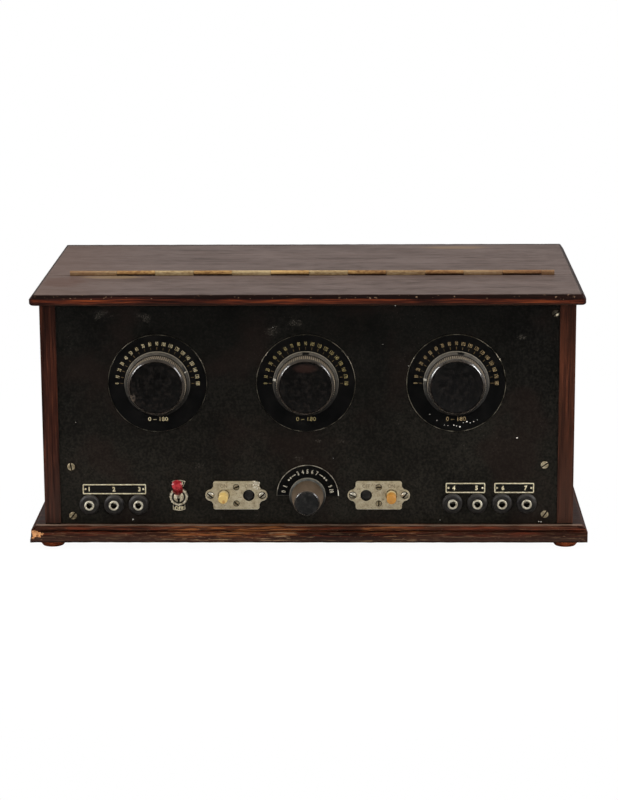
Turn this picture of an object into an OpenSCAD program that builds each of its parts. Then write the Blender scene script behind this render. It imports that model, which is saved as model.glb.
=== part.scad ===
// Table radio receiver with valves: a wooden case with a hinged rear lid, an ebonite front panel,
// three tuning condensers turned by dial knobs, a coupling control, switches and plug sockets.
// Millimetres. +X is to the right, the panel faces -Y and +Z is up. The origin lies on the surface
// that the feet stand on, in the middle of the outline seen from above.

/* [Cabinet] */
// Width across the side boards
case_w = 430; // [424:1:450]
// Depth of the side boards
case_d = 242; // [236:1:270]
// Height of the side boards
case_h = 182; // [178:1:200]
// Thickness of the base board and the side boards
board_t = 13; // [11:0.5:15]
// Thickness of the fixed strip and the lid
top_t = 9; // [8:0.5:12]
// Overhang of the top past each side board
top_side = 7; // [4:0.5:10]
// Overhang of the top past the front and the back
top_front = 8; // [4:0.5:12]
// Overhang of the base past each side board
base_side = 11.5; // [9:0.5:16]
// Overhang of the base past the front and the back
base_front = 9.5; // [7:0.5:14]
// Depth of the fixed front strip of the top
strip_d = 93; // [86:1:105]
// Thickness of the back panel
back_t = 6; // [4:0.5:8]
// Diameter of a foot where it meets the base
foot_d = 24; // [20:0.5:26]
// Height of a foot
foot_h = 6; // [4:0.5:10]

/* [Hinge] */
// Length of the hinge
hinge_len = 402; // [396:1:410]
// Length of the first knuckle on the left
first_knuckle = 39; // [34:1:44]
// Outer diameter of the knuckles
barrel_d = 4.2; // [3.6:0.1:5]
// Diameter of the hinge pin
pin_d = 2; // [1.6:0.1:2.4]
// Thickness of a leaf
leaf_t = 1; // [0.8:0.1:1.2]

/* [Panel] */
// Thickness of the ebonite panel
panel_t = 4; // [3:0.5:5]
// How far the panel lies behind the front edges of the side boards
panel_recess = 1.2; // [0.5:0.1:3]
// Dial centres from the middle of the panel
dial_x = [-121, -1.4, 119.5]; // [-130:0.1:130]
// Height of the dials above the panel's lower edge
dial_z = 117.2; // [110:0.1:125]
// Readings of the three dials at rest, in degrees of the 180 degree scale
dial_reading = [157, 8, 8]; // [0:1:180]
// Height of the coupling knob and the push buttons above the panel's lower edge
row_z = 24.2; // [24:0.1:30]
// Place of the coupling knob from the middle of the panel
coupling_x = -0.5; // [-5:0.1:5]
// Centres of the two push button plates from the middle of the panel
switch_x = [-58.5, 57.3]; // [-62:0.1:62]
// Place of the toggle switch from the middle of the panel
toggle_x = -105.3; // [-112:0.1:-100]
// Height of the toggle switch above the panel's lower edge
toggle_z = 23.3; // [21:0.1:28]
// Left sockets, the middle one's place from the middle of the panel
left_sockets_x = -158.2; // [-162:0.1:-150]
// Right sockets, the middle of the four from the middle of the panel
right_sockets_x = 147.2; // [140:0.1:150]
// Distance between neighbouring plug sockets
socket_pitch = 20; // [19:0.1:21]
// Height of the left and of the right sockets above the panel's lower edge
socket_z = [16.3, 17.3]; // [14:0.1:20]

/* [Controls] */
// Diameter of a dial's etched scale plate
scale_d = 80; // [70:1:84]
// Diameter of a tuning knob's skirt
skirt_d = 54; // [48:1:56]
// Diameter of a tuning knob's knurled grip
grip_d = 47; // [42:1:48]
// Height of a tuning knob's face above the panel
knob_reach = 18; // [16:0.5:24]
// Diameter of the coupling knob's skirt
coupling_skirt_d = 29.7; // [27:0.1:32]
// Height of the coupling knob's face above the panel
coupling_reach = 28; // [26:0.5:32]
// Diameter of the control shafts
shaft_d = 6; // [5:0.5:6.5]
// Bore of a plug socket
socket_bore_d = 4; // [3.8:0.1:4.2]
// Depth of a plug socket's bore
socket_depth = 18; // [16:0.5:22]
// Tilt of the toggle lever from straight out
toggle_tilt = 36; // [15:1:38]
// Travel of a push button
button_stroke = 10; // [6:0.5:10]

/* [Inside] */
// Radius of the moving vanes
vane_r = 28; // [24:0.5:28]
// Moving vanes in a condenser, with one fixed vane more
vane_count = 11; // [5:1:11]
// Distance from one moving vane to the next
vane_pitch = 3.6; // [3.2:0.1:3.6]
// Radius of a tuning coil's former
coil_r = 27; // [22:0.5:27]
// Height of a tuning coil's former
coil_h = 76; // [60:1:80]
// Places of the valves from the middle of the case
valve_x = [-150, -50, 50, 150]; // [-155:1:155]

/* [Hidden] */
$fn = 48;

mahogany = [0.25, 0.13, 0.10];
top_brown = [0.40, 0.34, 0.32];
foot_red = [0.42, 0.17, 0.10];
plywood = [0.45, 0.33, 0.22];
ebonite = [0.11, 0.10, 0.09];
knob_black = [0.14, 0.13, 0.12];
nickel = [0.70, 0.67, 0.58];
aged_brass = [0.60, 0.48, 0.30];
aluminium = [0.75, 0.76, 0.78];
ivory = [0.88, 0.74, 0.47];
cap_red = [0.68, 0.06, 0.12];
glass_grey = [0.70, 0.75, 0.75];
winding_green = [0.20, 0.36, 0.24];
winding_brown = [0.45, 0.22, 0.12];
former_brown = [0.36, 0.22, 0.13];
core_grey = [0.28, 0.28, 0.30];
copper = [0.72, 0.42, 0.28];

run = 0.05;
slack = 0.3;
cut = 1;

floor_z = foot_h + board_t;
top_z = floor_z + case_h;
roof_z = top_z + top_t;
in_w = case_w - 2 * board_t;
reach = coupling_reach - panel_recess;
front_y = (reach - case_d - base_front) / 2;
back_y = front_y + case_d;
panel_y = front_y + panel_recess;
seam_y = front_y - top_front + strip_d;
hinge_x = 2 - hinge_len / 2;
knuckles = 13;
last_knuckle = 11;
knuckle_len = (hinge_len - first_knuckle - last_knuckle) / (knuckles - 2);
barrel_rise = barrel_d / 2 - 0.2;
hinge_z = roof_z + barrel_rise;
shaft_r = shaft_d / 2;
bush_r = shaft_r + 2;
nut_room_r = 9;
knob_bore = knob_reach - 5;
coupling_bore = coupling_reach - 10;
plate_t = 3;
plate_w = 72;
post_r = 3;
post_at = 30;
stack_start = 14;
vane_t = 0.8;
frame_depth = stack_start + vane_count * vane_pitch + 5;
rear_plate_z = panel_t + frame_depth - 2;
button_x = 10.2;
ear_x = 21;
centre_screw_z = 6.8;
switch_t = 1.2;
screw_r = 1.5;
screw_hole_r = 1.6;
panel_screw_places = [[-192.6, 48], [-192.1, 6.9], [191.4, 49.4], [192, 8.2], [198.7, 174]];
batten_w = 18;
batten_d = 12;
former_axis = 32;
coil_y = front_y + 112;
valve_y = front_y + 186;
holder_h = 13;
valve_base_h = 30;
flange_t = 4;
transformer_x = [(dial_x[0] + dial_x[1]) / 2, (dial_x[1] + dial_x[2]) / 2];
sockets_at = concat(
    [for (i = [-1:1]) [left_sockets_x + i * socket_pitch, socket_z[0]]],
    [for (i = [-1.5:1:1.5]) [right_sockets_x + i * socket_pitch, socket_z[1]]]
);

// Edges of the boards as inset and height, from the underside up
function arc_edge(inset, h, r, from, to, n = 6) =
    [for (i = [0:n]) let (a = from + (to - from) * i / n) [inset - r * cos(a), h + r * sin(a)]];
square_edge = [[0, 0], [0, board_t]];
ovolo_r = 4.5;
ledge = 0.8;
base_edge = concat(
    [[0, 0], [0, board_t - ovolo_r]],
    arc_edge(ledge + ovolo_r, board_t - ovolo_r, ovolo_r, 0, 90)
);
nose_r = 2.4;
nose_slope = [2.6, 3.4];
nose_edge = concat(
    arc_edge(nose_r, nose_r, nose_r, -90, 0),
    [[0, top_t - nose_slope[1]], [nose_slope[0], top_t]]
);
seam_edge = [[0, 0], [0, top_t]];

function outline(lo, hi, lo_edge, hi_edge) = concat(
    [for (p = hi_edge) [hi - p[0], p[1]]],
    [for (i = [len(lo_edge) - 1:-1:0]) [lo + lo_edge[i][0], lo_edge[i][1]]]
);

// A board whose ends, front and back each have their own edge
module shaped_board(x, y, z, ends, front, back) {
    intersection() {
        translate([0, y[1] + cut, z])
            rotate([90, 0, 0])
                linear_extrude(y[1] - y[0] + 2 * cut)
                    polygon(outline(x[0], x[1], ends, ends));
        translate([x[0] - cut, 0, z])
            rotate([90, 0, 90])
                linear_extrude(x[1] - x[0] + 2 * cut)
                    polygon(outline(y[0], y[1], front, back));
    }
}

module round_rect(w, h, r) {
    square([w - 2 * r, h], center = true);
    square([w, h - 2 * r], center = true);
    for (x = [-1, 1], y = [-1, 1])
        translate([x * (w / 2 - r), y * (h / 2 - r)])
            circle(r);
}

// Puts a piece on the panel's face: its own Z points out of the panel and its Y up
module at_panel(x, z) {
    translate([x, panel_y, floor_z + z])
        rotate([90, 0, 0])
            children();
}

module hole(r, from, to) {
    translate([0, 0, from])
        cylinder(h = to - from, r = r);
}

module rod(a, b, r) {
    d = b - a;
    translate(a)
        rotate([0, acos(d[2] / norm(d)), atan2(d[1], d[0])])
            cylinder(h = norm(d), r = r, $fn = 24);
}

// Cabinet
module base_board()
    color(mahogany)
        shaped_board([-case_w / 2 - base_side, case_w / 2 + base_side],
            [front_y - base_front, back_y + base_front], foot_h, base_edge, base_edge, square_edge);

module side_board() {
    arris_r = 1.2;
    linear_extrude(case_h) {
        translate([0, arris_r])
            square([board_t, case_d - 2 * arris_r]);
        translate([arris_r, 0])
            square([board_t - arris_r, case_d]);
        for (y = [arris_r, case_d - arris_r])
            translate([arris_r, y])
                circle(arris_r);
    }
}

module side_left()
    color(mahogany)
        translate([-case_w / 2, front_y, floor_z])
            side_board();

module side_right()
    color(mahogany)
        translate([case_w / 2, front_y, floor_z])
            mirror([1, 0, 0])
                side_board();

module back_panel() {
    slot_w = 60;
    slot_h = 9;
    slot_z = 16;
    color(plywood)
        difference() {
            translate([-in_w / 2, back_y - back_t, floor_z])
                cube([in_w, back_t, case_h]);
            translate([0, back_y + cut, floor_z + slot_z])
                rotate([90, 0, 0])
                    linear_extrude(back_t + 2 * cut)
                        round_rect(slot_w, slot_h, slot_h / 2 - 0.01);
        }
}

// Room along the seam for the hinge, as wide as its barrel
module hinge_room() {
    translate([hinge_x, seam_y - barrel_d / 2, top_z - cut])
        cube([hinge_len, barrel_d, top_t + 2 * cut]);
}

seam_gap = 0.8;

module top_strip()
    color(top_brown)
        difference() {
            shaped_board([-case_w / 2 - top_side, case_w / 2 + top_side],
                [front_y - top_front, seam_y - seam_gap / 2], top_z, nose_edge, nose_edge, seam_edge);
            hinge_room();
        }

module lid_board()
    color(top_brown)
        difference() {
            shaped_board([-case_w / 2 - top_side, case_w / 2 + top_side],
                [seam_y + seam_gap / 2, back_y + top_front], top_z, nose_edge, seam_edge, nose_edge);
            hinge_room();
        }

module panel_battens()
    color(plywood)
        difference() {
            for (side = [-1, 1])
                translate([side * (in_w - batten_w) / 2 - batten_w / 2, panel_y + panel_t, floor_z])
                    cube([batten_w, batten_d, case_h]);
            for (p = panel_screw_places)
                at_panel(p[0], p[1])
                    hole(screw_hole_r, -panel_t - batten_d + 1, 0);
        }

module feet() {
    foot_x = case_w / 2 - 5.5;
    foot_inset = 8;
    color(foot_red)
        for (x = [-foot_x, foot_x], y = [front_y + foot_inset, back_y - foot_inset])
            translate([x, y, 0]) {
                cylinder(h = foot_h - 1.5, r1 = foot_d / 2 - 3.5, r2 = foot_d / 2);
                translate([0, 0, foot_h - 1.5])
                    cylinder(h = 1.5, d = foot_d);
            }
}

// Hinge: thirteen knuckles, every second one rolled from the lid's leaf. Each leaf lies flat on the edge
// of its board and rises at the outside of its knuckles
function knuckle_x(k) =
    hinge_x + (k == 0 ? 0 : k == knuckles ? hinge_len : first_knuckle + (k - 1) * knuckle_len);

module hinge_leaf(first, side) {
    leaf_top = roof_z - 0.6;
    leaf_y = seam_y + side * (barrel_d - leaf_t) / 2 - leaf_t / 2;
    difference() {
        union() {
            translate([hinge_x, leaf_y, top_z])
                cube([hinge_len, leaf_t, leaf_top - top_z]);
            for (k = [first:2:knuckles - 1]) {
                from = knuckle_x(k) + slack / 2;
                length = knuckle_x(k + 1) - knuckle_x(k) - slack;
                translate([from, seam_y, hinge_z])
                    rotate([0, 90, 0])
                        cylinder(h = length, d = barrel_d);
                translate([from, leaf_y, leaf_top - cut])
                    cube([length, leaf_t, hinge_z - slack - leaf_top + cut]);
            }
        }
        translate([hinge_x - cut, seam_y, hinge_z])
            rotate([0, 90, 0])
                cylinder(h = hinge_len + 2 * cut, r = pin_d / 2 + run);
    }
}

module hinge_leaf_fixed()
    color(aged_brass)
        hinge_leaf(0, -1);

module hinge_leaf_lid()
    color(aged_brass)
        hinge_leaf(1, 1);

module hinge_pin()
    color(aged_brass)
        translate([hinge_x, seam_y, hinge_z])
            rotate([0, 90, 0])
                cylinder(h = hinge_len, d = pin_d);

// Front panel
button_hole_r = 4.6;
toggle_bush_r = 6;
socket_tube_r = 3.5;

module front_panel()
    color(ebonite)
        difference() {
            translate([-in_w / 2, panel_y, floor_z])
                cube([in_w, panel_t, case_h]);
            for (x = dial_x)
                at_panel(x, dial_z)
                    hole(bush_r + run, -panel_t - cut, cut);
            at_panel(coupling_x, row_z)
                hole(bush_r + run, -panel_t - cut, cut);
            at_panel(toggle_x, toggle_z)
                hole(toggle_bush_r + run, -panel_t - cut, cut);
            for (s = sockets_at)
                at_panel(s[0], s[1])
                    hole(socket_tube_r + run, -panel_t - cut, cut);
            for (x = switch_x)
                at_panel(x, row_z)
                    switch_holes(button_hole_r, -panel_t - cut, cut);
            for (p = panel_screw_places)
                at_panel(p[0], p[1])
                    hole(screw_hole_r, -panel_t - cut, cut);
        }

module slotted_screw(head_r, head_h, length, slot_angle) {
    slot_w = 0.9;
    rim_h = head_h * 0.4;
    difference() {
        union() {
            rotate_extrude()
                polygon([[0, 0], [head_r, 0], [head_r, rim_h], [head_r * 0.7, head_h * 0.85], [0, head_h]]);
            translate([0, 0, -length])
                cylinder(h = length + 0.1, r = screw_r, $fn = 24);
        }
        rotate([0, 0, slot_angle])
            translate([-head_r - cut, -slot_w / 2, rim_h])
                cube([2 * (head_r + cut), slot_w, head_h]);
    }
}

module panel_screws() {
    slot_angles = [25, 50, 35, 55, 40];
    color(aged_brass)
        for (i = [0:len(panel_screw_places) - 1])
            at_panel(panel_screw_places[i][0], panel_screw_places[i][1])
                slotted_screw(head_r = 3.1, head_h = 1.2, length = panel_t + 9, slot_angle = slot_angles[i]);
}

// Dials: an etched plate with a raised rim under each knob
module scale_plate(i) {
    sheet = 0.6;
    rim = 0.35;
    rim_w = 0.7;
    color(ebonite)
        at_panel(dial_x[i], dial_z)
            rotate_extrude($fn = 96)
                polygon([[nut_room_r, 0], [scale_d / 2, 0], [scale_d / 2, sheet + rim],
                    [scale_d / 2 - rim_w, sheet + rim], [scale_d / 2 - rim_w, sheet], [nut_room_r, sheet]]);
}

module scale_plate_left()
    scale_plate(0);

module scale_plate_middle()
    scale_plate(1);

module scale_plate_right()
    scale_plate(2);

// A grip cut with fine upright teeth
function knurl(r, depth, teeth) = [
    for (i = [0:2 * teeth - 1])
        let (q = r - depth * (i % 2), a = 180 * i / teeth)
            [q * cos(a), q * sin(a)]
];

module tuning_knob(i) {
    back = 1.1;
    skirt_edge = 1.8;
    grip_from = 5.6;
    face_edge = 2.4;
    face_r = grip_d / 2 - 2;
    tooth = 0.5;
    teeth = 90;
    color(knob_black)
        at_panel(dial_x[i], dial_z)
            difference() {
                union() {
                    rotate_extrude($fn = 96)
                        polygon([[0, back], [skirt_d / 2, back], [skirt_d / 2, back + skirt_edge],
                            [grip_d / 2 + 0.9, grip_from], [0, grip_from]]);
                    translate([0, 0, grip_from])
                        linear_extrude(knob_reach - face_edge - grip_from)
                            polygon(knurl(grip_d / 2, tooth, teeth));
                    translate([0, 0, knob_reach - face_edge])
                        cylinder(h = face_edge, r1 = grip_d / 2 - tooth - 0.2, r2 = face_r, $fn = 96);
                }
                hole(nut_room_r, 0, grip_from - 1);
                hole(shaft_r + run, 0, knob_bore);
            }
}

module knob_left()
    tuning_knob(0);

module knob_middle()
    tuning_knob(1);

module knob_right()
    tuning_knob(2);

// Coupling control
coupling_plate_r = 25.2;

module coupling_plate() {
    sheet = 0.5;
    rim = 0.3;
    rim_w = 0.9;
    straight_edge = -0.5;
    color(ebonite)
        at_panel(coupling_x, row_z)
            difference() {
                union() {
                    cylinder(h = sheet, r = coupling_plate_r, $fn = 96);
                    difference() {
                        cylinder(h = sheet + rim, r = coupling_plate_r, $fn = 96);
                        hole(coupling_plate_r - rim_w, sheet, sheet + cut);
                    }
                }
                hole(nut_room_r, -cut, sheet + cut);
                translate([-coupling_plate_r - cut, -coupling_plate_r - cut, -cut])
                    cube([2 * (coupling_plate_r + cut), coupling_plate_r + cut + straight_edge, 3 * cut]);
            }
}

module coupling_knob() {
    back = 1.1;
    skirt_h = 4.2;
    teeth = 60;
    foot_r = 13.2;
    face_r = 11.4;
    face_edge = 1.4;
    grip_h = coupling_reach - face_edge - skirt_h;
    color(knob_black)
        at_panel(coupling_x, row_z)
            difference() {
                union() {
                    rotate_extrude($fn = 72)
                        polygon([[0, back], [coupling_skirt_d / 2, back], [coupling_skirt_d / 2, back + 1.4],
                            [foot_r + 0.2, skirt_h], [0, skirt_h]]);
                    translate([0, 0, skirt_h])
                        linear_extrude(grip_h, scale = face_r / foot_r)
                            polygon(knurl(foot_r, 0.5, teeth));
                    translate([0, 0, skirt_h + grip_h])
                        cylinder(h = face_edge, r1 = face_r - 0.6, r2 = face_r - 1.4, $fn = 72);
                }
                hole(nut_room_r, 0, skirt_h - 0.8);
                hole(shaft_r + run, 0, coupling_bore);
            }
}

// Label plates over the sockets
module label_plates() {
    label_h = 8.6;
    sheet = 0.5;
    rivet_in = 2.2;
    plates = [[-183.6, -132, 29.2], [111.6, 143.6, 30.2], [151, 183.2, 30.2]];
    color(nickel)
        for (plate = plates) {
            from = plate[0];
            to = plate[1];
            at_panel((from + to) / 2, plate[2]) {
                linear_extrude(sheet)
                    round_rect(to - from, label_h, 0.8);
                for (side = [-1, 1])
                    translate([side * ((to - from) / 2 - rivet_in), 0, sheet])
                        cylinder(h = 0.3, r = 0.8, $fn = 24);
            }
        }
}

// Plug sockets: a domed insulating collar round each nickel tube, with its nut behind the panel
collar_h = 4;

module socket_collars() {
    collar_r = 8.3;
    bore_r = socket_tube_r + run;
    rim_h = 1.2;
    dome_w = 2.8;
    steps = 6;
    dome = [
        for (i = [0:steps])
            let (a = 90 * i / steps)
                [collar_r - dome_w * (1 - cos(a)), rim_h + (collar_h - rim_h) * sin(a)]
    ];
    color(knob_black)
        for (s = sockets_at)
            at_panel(s[0], s[1])
                rotate_extrude()
                    polygon(concat([[bore_r, 0], [collar_r, 0]], dome, [[bore_r, collar_h]]));
}

socket_head_h = 1.1;
socket_front = collar_h + socket_head_h;
socket_lead_in = 0.5;

module sockets() {
    head_r = 4.4;
    bore_r = socket_bore_d / 2;
    nut_r = 5.2;
    nut_h = 3;
    tail = socket_depth - socket_front + 2;
    color(nickel)
        for (s = sockets_at)
            at_panel(s[0], s[1])
                difference() {
                    union() {
                        translate([0, 0, -tail])
                            cylinder(h = tail + collar_h + 0.1, r = socket_tube_r);
                        rotate_extrude()
                            polygon([[0, collar_h], [head_r, collar_h], [head_r, collar_h + 0.5],
                                [head_r - 0.6, socket_front], [0, socket_front]]);
                        translate([0, 0, -panel_t - nut_h])
                            cylinder(h = nut_h, r = nut_r, $fn = 6);
                    }
                    hole(bore_r, socket_front - socket_depth, socket_front + cut);
                    translate([0, 0, socket_front - socket_lead_in])
                        cylinder(h = socket_lead_in + 0.01, r1 = bore_r, r2 = bore_r + 0.5);
                }
}

// Toggle switch: inside the ring nut a slotted dome guides the flat lever, which turns on a pin
toggle_ring_h = 3;
tag_t = 0.8;
pivot_r = 0.8;
blade_t = 1.4;

module toggle_body() {
    ring_r = 7.5;
    room_r = 4.7;
    dome_r = 5.2;
    dome_t = 0.8;
    slot_w = blade_t + 2 * slack;
    box = [15, 24, 22];
    color(nickel)
        at_panel(toggle_x, toggle_z) {
            difference() {
                union() {
                    translate([0, 0, tag_t])
                        linear_extrude(toggle_ring_h - tag_t)
                            polygon(knurl(ring_r, 0.5, 20));
                    hole(toggle_bush_r, -panel_t - 0.1, tag_t + 0.1);
                    translate([-box[0] / 2, -box[1] / 2, -panel_t - box[2]])
                        cube(box);
                }
                hole(room_r, -panel_t - 4, toggle_ring_h + cut);
            }
            difference() {
                sphere(dome_r);
                sphere(dome_r - dome_t);
                translate([0, 0, -dome_r])
                    cube(2 * dome_r, center = true);
                translate([-slot_w / 2, -dome_r, -cut])
                    cube([slot_w, 2 * dome_r, dome_r + 2 * cut]);
            }
            rotate([0, 90, 0])
                cylinder(h = room_r + dome_r, r = pivot_r, center = true);
        }
}

// The tag under the ring: a flared label over the lever and a narrower one below it
module toggle_tag() {
    tag_r = 7.6;
    upper = [13.6, 6.1];
    lower = [12, 5];
    color(nickel)
        at_panel(toggle_x, toggle_z)
            difference() {
                linear_extrude(tag_t) {
                    circle(tag_r);
                    intersection() {
                        circle(upper[0], $fn = 96);
                        polygon([[0, 0], [upper[1], upper[0]], [-upper[1], upper[0]]]);
                    }
                    intersection() {
                        circle(lower[0], $fn = 96);
                        translate([0, -lower[0] / 2])
                            round_rect(2 * lower[1], lower[0], 1.5);
                    }
                }
                hole(toggle_bush_r + run, -cut, tag_t + cut);
            }
}

cap_from = 11;
cap_to = 26;
cap_bore = cap_to - 6;
lever_r = 2;

module toggle_lever() {
    eye_r = 2.2;
    blade_w = 3.2;
    blade_end = 8;
    color(nickel)
        at_panel(toggle_x, toggle_z)
            rotate([-toggle_tilt, 0, 0]) {
                difference() {
                    union() {
                        rotate([0, 90, 0])
                            cylinder(h = blade_t, r = eye_r, center = true);
                        translate([-blade_t / 2, -blade_w / 2, 0])
                            cube([blade_t, blade_w, blade_end + 0.5]);
                    }
                    rotate([0, 90, 0])
                        cylinder(h = blade_t + 2 * cut, r = pivot_r + run, center = true);
                }
                translate([0, 0, blade_end])
                    cylinder(h = cap_bore - blade_end, r = lever_r, $fn = 24);
            }
}

module toggle_cap()
    color(cap_red)
        at_panel(toggle_x, toggle_z)
            rotate([-toggle_tilt, 0, 0])
                difference() {
                    rotate_extrude()
                        polygon([
                            [0, cap_from], [2.5, cap_from], [2.8, cap_from + 1], [3.9, cap_to - 5],
                            [4.3, cap_to - 2.4], [4.15, cap_to - 1.1], [3.6, cap_to - 0.35],
                            [2.6, cap_to], [0, cap_to]
                        ]);
                    hole(lever_r + 0.02, cap_from - cut, cap_bore);
                }

// Push button switches: an eared plate in front, the housing behind the panel
module switch_holes(r, from, to) {
    for (x = [-button_x, button_x])
        translate([x, 0, 0])
            hole(r, from, to);
    switch_screw_places()
        hole(screw_hole_r, from, to);
}

module switch_screw_places() {
    for (x = [-ear_x, ear_x])
        translate([x, 0, 0])
            children();
    for (y = [-centre_screw_z, centre_screw_z])
        translate([0, y, 0])
            children();
}

module switch_plate(i) {
    body_w = 37.6;
    body_h = 23.6;
    ear_r = 4.8;
    ear_in = 0.5;
    neck = [2 * (ear_x + 1.2), 13.4];
    throat_r = 3.7;
    color(nickel)
        at_panel(switch_x[i], row_z)
            difference() {
                linear_extrude(switch_t) {
                    round_rect(body_w, body_h, 2);
                    for (x = [-ear_x, ear_x])
                        translate([x - sign(x) * ear_in, 0])
                            circle(ear_r);
                    difference() {
                        square(neck, center = true);
                        for (x = [-1, 1], y = [-1, 1])
                            translate([x * (neck[0] / 2 + 0.6), y * (neck[1] / 2 + 1.2)])
                                circle(throat_r);
                    }
                }
                switch_holes(button_hole_r, -cut, switch_t + cut);
            }
}

module switch_plate_left()
    switch_plate(0);

module switch_plate_right()
    switch_plate(1);

module switch_screws() {
    ear_slots = [[-40, 40], [-25, 50]];
    centre_slots = [[-45, 20], [85, 5]];
    thread = switch_t + panel_t + 6;
    color(nickel)
        for (i = [0, 1])
            at_panel(switch_x[i], row_z) {
                for (side = [0, 1]) {
                    translate([(2 * side - 1) * ear_x, 0, switch_t])
                        slotted_screw(2.7, 1.5, thread, ear_slots[i][side]);
                    translate([0, (2 * side - 1) * centre_screw_z, switch_t])
                        slotted_screw(2.2, 0.9, thread, centre_slots[i][side]);
                }
            }
}

button_r = 4;
button_tip_r = 3.8;
flange_r = 5.6;
flange_h = 2;

module switch_housings() {
    housing = [48, 22, 24];
    bore_depth = panel_t + slack + flange_h + button_stroke + 2;
    color(knob_black)
        for (x = switch_x)
            at_panel(x, row_z)
                difference() {
                    translate([-housing[0] / 2, -housing[1] / 2, -panel_t - housing[2]])
                        cube(housing);
                    for (b = [-button_x, button_x])
                        translate([b, 0, 0])
                            hole(flange_r + slack, -bore_depth, 0);
                    switch_screw_places()
                        hole(screw_hole_r, -panel_t - 7, 0);
                }
}

// A push button with the flange that keeps it behind the panel. Its rear lies back_z behind the face
module push_button(x, back_z, length, tip_h) {
    shoulder = length - tip_h;
    arris = 0.6;
    at_panel(x, row_z)
        translate([0, 0, -back_z]) {
            cylinder(h = flange_h, r = flange_r);
            rotate_extrude()
                polygon([
                    [0, 0], [button_r, 0], [button_r, shoulder - button_r + button_tip_r],
                    [button_tip_r, shoulder], [button_tip_r, length - arris],
                    [button_tip_r - arris, length], [0, length]
                ]);
        }
}

out_back = panel_t + slack + flange_h;
in_back = out_back + button_stroke;

module button_ivory_left()
    color(ivory)
        push_button(switch_x[0] - button_x, out_back, out_back + switch_t + 13.5, 8);

module button_black_left()
    color(knob_black)
        push_button(switch_x[0] + button_x, in_back, in_back + switch_t, 1.5);

module button_black_right()
    color(knob_black)
        push_button(switch_x[1] - button_x, in_back, in_back + switch_t, 1.5);

module button_ivory_right()
    color(ivory)
        push_button(switch_x[1] + button_x, out_back, out_back + switch_t + 14.5, 8);

// Variable condensers: moving vanes on the knob's shaft mesh with a fixed pack
module bush(clamped) {
    nut_r = 8.08;
    nut_h = 2.4;
    bush_front = 2.8;
    flange = 2;
    flange_r = 8;
    difference() {
        union() {
            hole(bush_r, -clamped - flange, bush_front);
            hole(flange_r, -clamped - flange, -clamped);
            cylinder(h = nut_h, r = nut_r, $fn = 6);
        }
        hole(shaft_r + run, -clamped - flange - cut, bush_front + cut);
    }
}

module shaft_bushes()
    color(aged_brass) {
        for (x = dial_x)
            at_panel(x, dial_z)
                bush(panel_t + plate_t);
        at_panel(coupling_x, row_z)
            bush(panel_t);
    }

module condenser_frame(i)
    color(former_brown)
        at_panel(dial_x[i], dial_z)
            difference() {
                union() {
                    for (z = [panel_t, rear_plate_z])
                        translate([0, 0, -z - plate_t])
                            linear_extrude(plate_t)
                                round_rect(plate_w, plate_w, 6);
                    for (x = [-post_at, post_at], y = [-post_at, post_at])
                        translate([x, y, -rear_plate_z - 0.5])
                            cylinder(h = rear_plate_z - panel_t - plate_t + 1, r = post_r, $fn = 24);
                }
                hole(bush_r + run, -panel_t - plate_t - cut, 0);
                hole(shaft_r + run, -rear_plate_z - plate_t - cut, -rear_plate_z + cut);
            }

module condenser_frame_left()
    condenser_frame(0);

module condenser_frame_middle()
    condenser_frame(1);

module condenser_frame_right()
    condenser_frame(2);

module stator(i) {
    outer_r = vane_r + 6.5;
    rod_at = vane_r + 3.5;
    inner_r = 8.5;
    color(aluminium)
        at_panel(dial_x[i], dial_z) {
            for (k = [0:vane_count])
                translate([0, 0, -stack_start + vane_pitch / 2 - vane_t - k * vane_pitch])
                    linear_extrude(vane_t)
                        difference() {
                            intersection() {
                                circle(outer_r, $fn = 72);
                                translate([-outer_r, -outer_r])
                                    square([2 * outer_r, outer_r - 1.5]);
                            }
                            circle(inner_r);
                        }
            for (a = [-20, -90, -160])
                rotate([0, 0, a])
                    translate([rod_at, 0, -rear_plate_z])
                        cylinder(h = rear_plate_z - panel_t - plate_t, r = 2, $fn = 24);
        }
}

module stator_left()
    stator(0);

module stator_middle()
    stator(1);

module stator_right()
    stator(2);

module rotor(i) {
    hub_r = 6;
    hub_from = stack_start - 3;
    hub_to = rear_plate_z - 2;
    color(aluminium)
        at_panel(dial_x[i], dial_z)
            rotate([0, 0, -dial_reading[i]]) {
                hole(shaft_r, -rear_plate_z - plate_t - 3, knob_bore);
                hole(hub_r, -hub_to, -hub_from);
                for (k = [0:vane_count - 1])
                    translate([0, 0, -stack_start - vane_t - k * vane_pitch])
                        linear_extrude(vane_t)
                            intersection() {
                                circle(vane_r, $fn = 72);
                                translate([-vane_r, 0])
                                    square([2 * vane_r, vane_r]);
                            }
            }
}

module rotor_left()
    rotor(0);

module rotor_middle()
    rotor(1);

module rotor_right()
    rotor(2);

// Tuning coils behind the condensers
module coil_formers()
    color(former_brown)
        for (x = dial_x)
            translate([x, coil_y, floor_z]) {
                cylinder(h = flange_t, r = coil_r + 5);
                difference() {
                    cylinder(h = flange_t + coil_h, r = coil_r);
                    hole(coil_r - 1.5, flange_t, flange_t + coil_h + cut);
                }
            }

module coil_windings()
    color(winding_green)
        for (x = dial_x)
            translate([x, coil_y, floor_z])
                for (band = [[9, 20], [26, coil_h - 6]])
                    difference() {
                        hole(coil_r + 1, flange_t + band[0], flange_t + band[1]);
                        hole(coil_r, 0, coil_h + 2 * flange_t);
                    }

// Coupling unit: the inner former turns in the outer one on the coupling knob's shaft
outer_former_r = 22;
outer_former_w = 52;
former_t = 1.7;

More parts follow.
